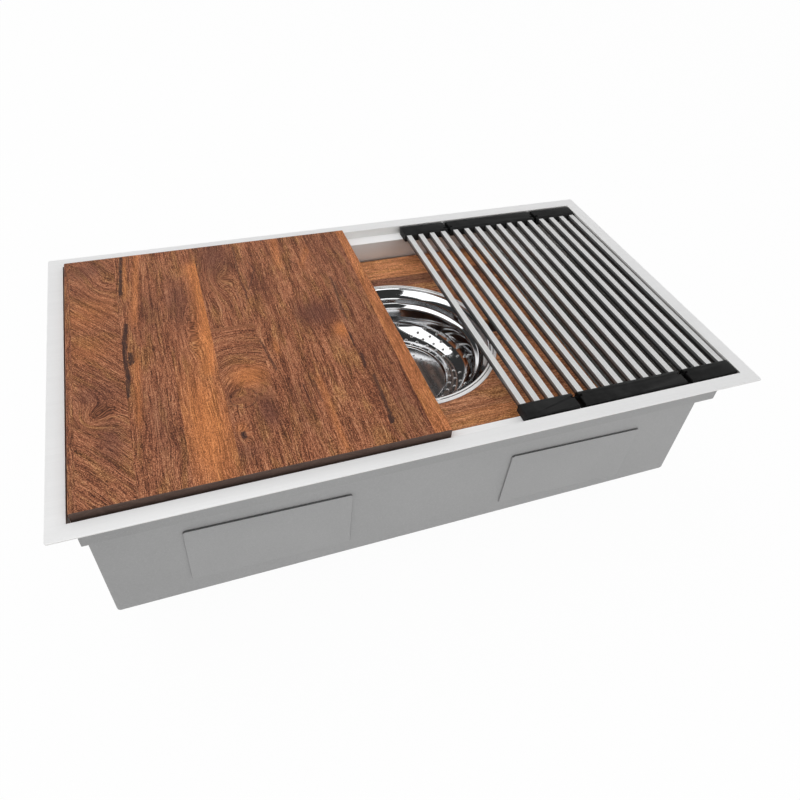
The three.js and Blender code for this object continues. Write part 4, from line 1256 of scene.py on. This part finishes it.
def dress_rack():
    rows = bar_row()
    satin = bar_steel("satin_rod_steel", (0.82, 0.82, 0.815), 0.25, 0.48)
    # The rods' sides: a glossier finish than the tops, with a darker colour and a darker lower half that
    # are painted shade.
    rod_sides_painted_shade = bar_steel("rod_side_steel_painted_shade", (0.30, 0.30, 0.30), 0.55, 0.30, -6.2 * MM)
    first = 1
    for panel, count in RACK_PANELS.items():
        body = f"rack_{panel}"
        rods = new_piece(f"rods_{panel}", bpy.data.meshes.new(f"rods_{panel}"))
        rows.grow(
            rods,
            Count=count,
            Pitch=ROD_PITCH,
            Length=396.6 * MM,
            Size=ROD_SIZE,
            Edge=0.6 * MM,
            First=(FIRST_ROD_X[panel], 0.0, -6.0 * MM),
            Material=satin,
        )
        smooth(rods.data, 50.0)
        rods.data.materials.clear()
        nodes = [f"rack_rod_{number:02d}" for number in range(first, first + count)]
        first += count
        settle(rods, body, "satin_stainless", nodes, satin, rod_sides_painted_shade)
        # The rods' sides get the darker material: painted shade.
        pick(rods, lambda face: abs(face.normal.z) <= UPTURNED)
        for side in ("back", "front"):
            node = f"rack_bar_{side}_{panel}"
            name = f"sleeve_{side}_{panel}"
            bar = stand_in(name, body, "black_silicone", [node], 0.9 * MM, 3, SILICONE, FOLD_SHADE_SILICONE)
            for corner in bar.data.vertices:
                for fold in FOLDS:
                    if side == "front" and abs(corner.co.x - fold) < SLEEVE_END_REACH:
                        corner.co.x += math.copysign(SLEEVE_END_TRIM, corner.co.x - fold)
            pick(bar, in_fold_shade)
    for hand in ("left", "right"):
        nodes = [f"rack_link_{side}_{hand}" for side in ("back", "front")]
        body = f"links_{hand}"
        # The hinge links are all in the near-black silicone copy: painted shade.
        stand_in(f"hinge_links_{hand}", body, "black_silicone", nodes, 0.3 * MM, 2, FOLD_SHADE_SILICONE)


# ---------------------------------------------------------------- studio
ROOM_LIGHT = 0.66
CEILING_LEVEL = 0.035
WALL_EDGE = (math.radians(17.0), math.radians(27.0))


def pale_floor():
    f = Finish("studio_floor")
    cloud = f.noise(f.place(), 3.0, 2.0, 0.5)
    paper = f.node("ShaderNodeBsdfDiffuse", {"Color": f.grey(0.86 + (cloud - 0.5) * 0.01)})
    lit = f.node("ShaderNodeEmission", {"Color": (1.0, 1.0, 1.0), "Strength": 1.0})
    rays = f.node("ShaderNodeLightPath").socket.node.outputs
    seen = Value(f, rays["Is Camera Ray"]).most(Value(f, rays["Is Glossy Ray"]))
    seen = seen.most(Value(f, rays["Is Transmission Ray"]))
    shader = f.node("ShaderNodeMixShader", {0: seen * 0.965, 1: paper, 2: lit})
    return f.finished(shader)


def white_surround():
    """White all round to the camera. Polished metal sees the white walls under a dim ceiling."""
    f = Finish("studio", "worlds")
    rays = f.node("ShaderNodeLightPath").socket.node.outputs
    glossy = Value(f, rays["Is Glossy Ray"])
    direct = Value(f, rays["Is Camera Ray"]).most(Value(f, rays["Is Transmission Ray"]))
    height = f.axes(f.node("ShaderNodeTexCoord", out="Generated"))[2]
    walls = height.rise(math.sin(WALL_EDGE[1]), math.sin(WALL_EDGE[0]))
    plain = 1.0 - direct.most(glossy)
    strength = direct + glossy * (walls * (1.0 - CEILING_LEVEL) + CEILING_LEVEL) + plain * ROOM_LIGHT
    background = f.node("ShaderNodeBackground", {"Color": (1.0, 1.0, 1.0), "Strength": strength})
    return f.finished(background, "ShaderNodeOutputWorld")


def build_studio():
    bpy.ops.mesh.primitive_plane_add(size=40.0, location=(0.0, 0.0, -307.5 * MM))
    floor = bpy.context.object
    floor.name = "studio_floor"
    floor.data.materials.append(pale_floor())

    bpy.context.scene.world = white_surround()
    add_softbox("overhead", (-1.446, 0.126, 3.56), (-1.446, 0.126, 0.0), (2.18, 4.57), 50.0)
    add_softbox("front_fill", (0.3, -2.4, 0.7), (0.0, 0.0, -0.1), (1.6, 1.6), 9.0)


def add_softbox(name, place, aim, size, watts):
    lamp = bpy.data.lights.new(name, "AREA")
    lamp.shape = "RECTANGLE"
    lamp.size, lamp.size_y = size
    lamp.energy = watts
    softbox = bpy.data.objects.new(name, lamp)
    bpy.context.scene.collection.objects.link(softbox)
    direction = Vector(aim) - Vector(place)
    softbox.location = place
    softbox.rotation_euler = direction.to_track_quat("-Z", "Y").to_euler()


# Azimuth, elevation and roll in degrees, and the place in millimetres, as fitted to the photo.
CAMERA_TURN = (-23.68, 44.15, 5.57)
CAMERA_PLACE = (-264.15, -662.08, 541.9)
CAMERA_LENS = 30.055


def place_camera():
    azimuth, elevation, roll = (math.radians(v) for v in CAMERA_TURN)
    level = math.cos(elevation)
    back = Vector((math.sin(azimuth) * level, -math.cos(azimuth) * level, math.sin(elevation)))
    right = (-back).cross(Vector((0.0, 0.0, 1.0))).normalized()
    up = right.cross(-back)
    rolled_right = math.cos(roll) * right + math.sin(roll) * up
    rolled_up = math.cos(roll) * up - math.sin(roll) * right
    lens = bpy.data.cameras.new("photographer")
    lens.lens = CAMERA_LENS
    lens.sensor_width = 36.0
    lens.clip_start = 0.01
    camera = bpy.data.objects.new("photographer", lens)
    bpy.context.scene.collection.objects.link(camera)
    turn = Matrix((rolled_right, rolled_up, back)).transposed().to_4x4()
    camera.matrix_world = Matrix.Translation([v * MM for v in CAMERA_PLACE]) @ turn
    bpy.context.scene.camera = camera


COAT = sound_coat("grey_sound_coat")
# A darker copy of the coat: painted shade for the sound pads' top edges.
PAD_TOP_SHADE = sound_coat("sound_pad_top_shade", 0.35)
RUBBER = rubber()
SILICONE = silicone("black_silicone", 1.0)
# A near-black copy of the silicone: painted shade on the sleeve ends at the folds and on the hinge links
# in the groove.
FOLD_SHADE_SILICONE = silicone("black_silicone_fold_shade", 0.12)

dress_bowl()
dress_strainer()
dress_board()
dress_platform()
dress_colander()
dress_rack()
build_studio()
place_camera()
bpy.context.scene.view_settings.view_transform = "Standard"
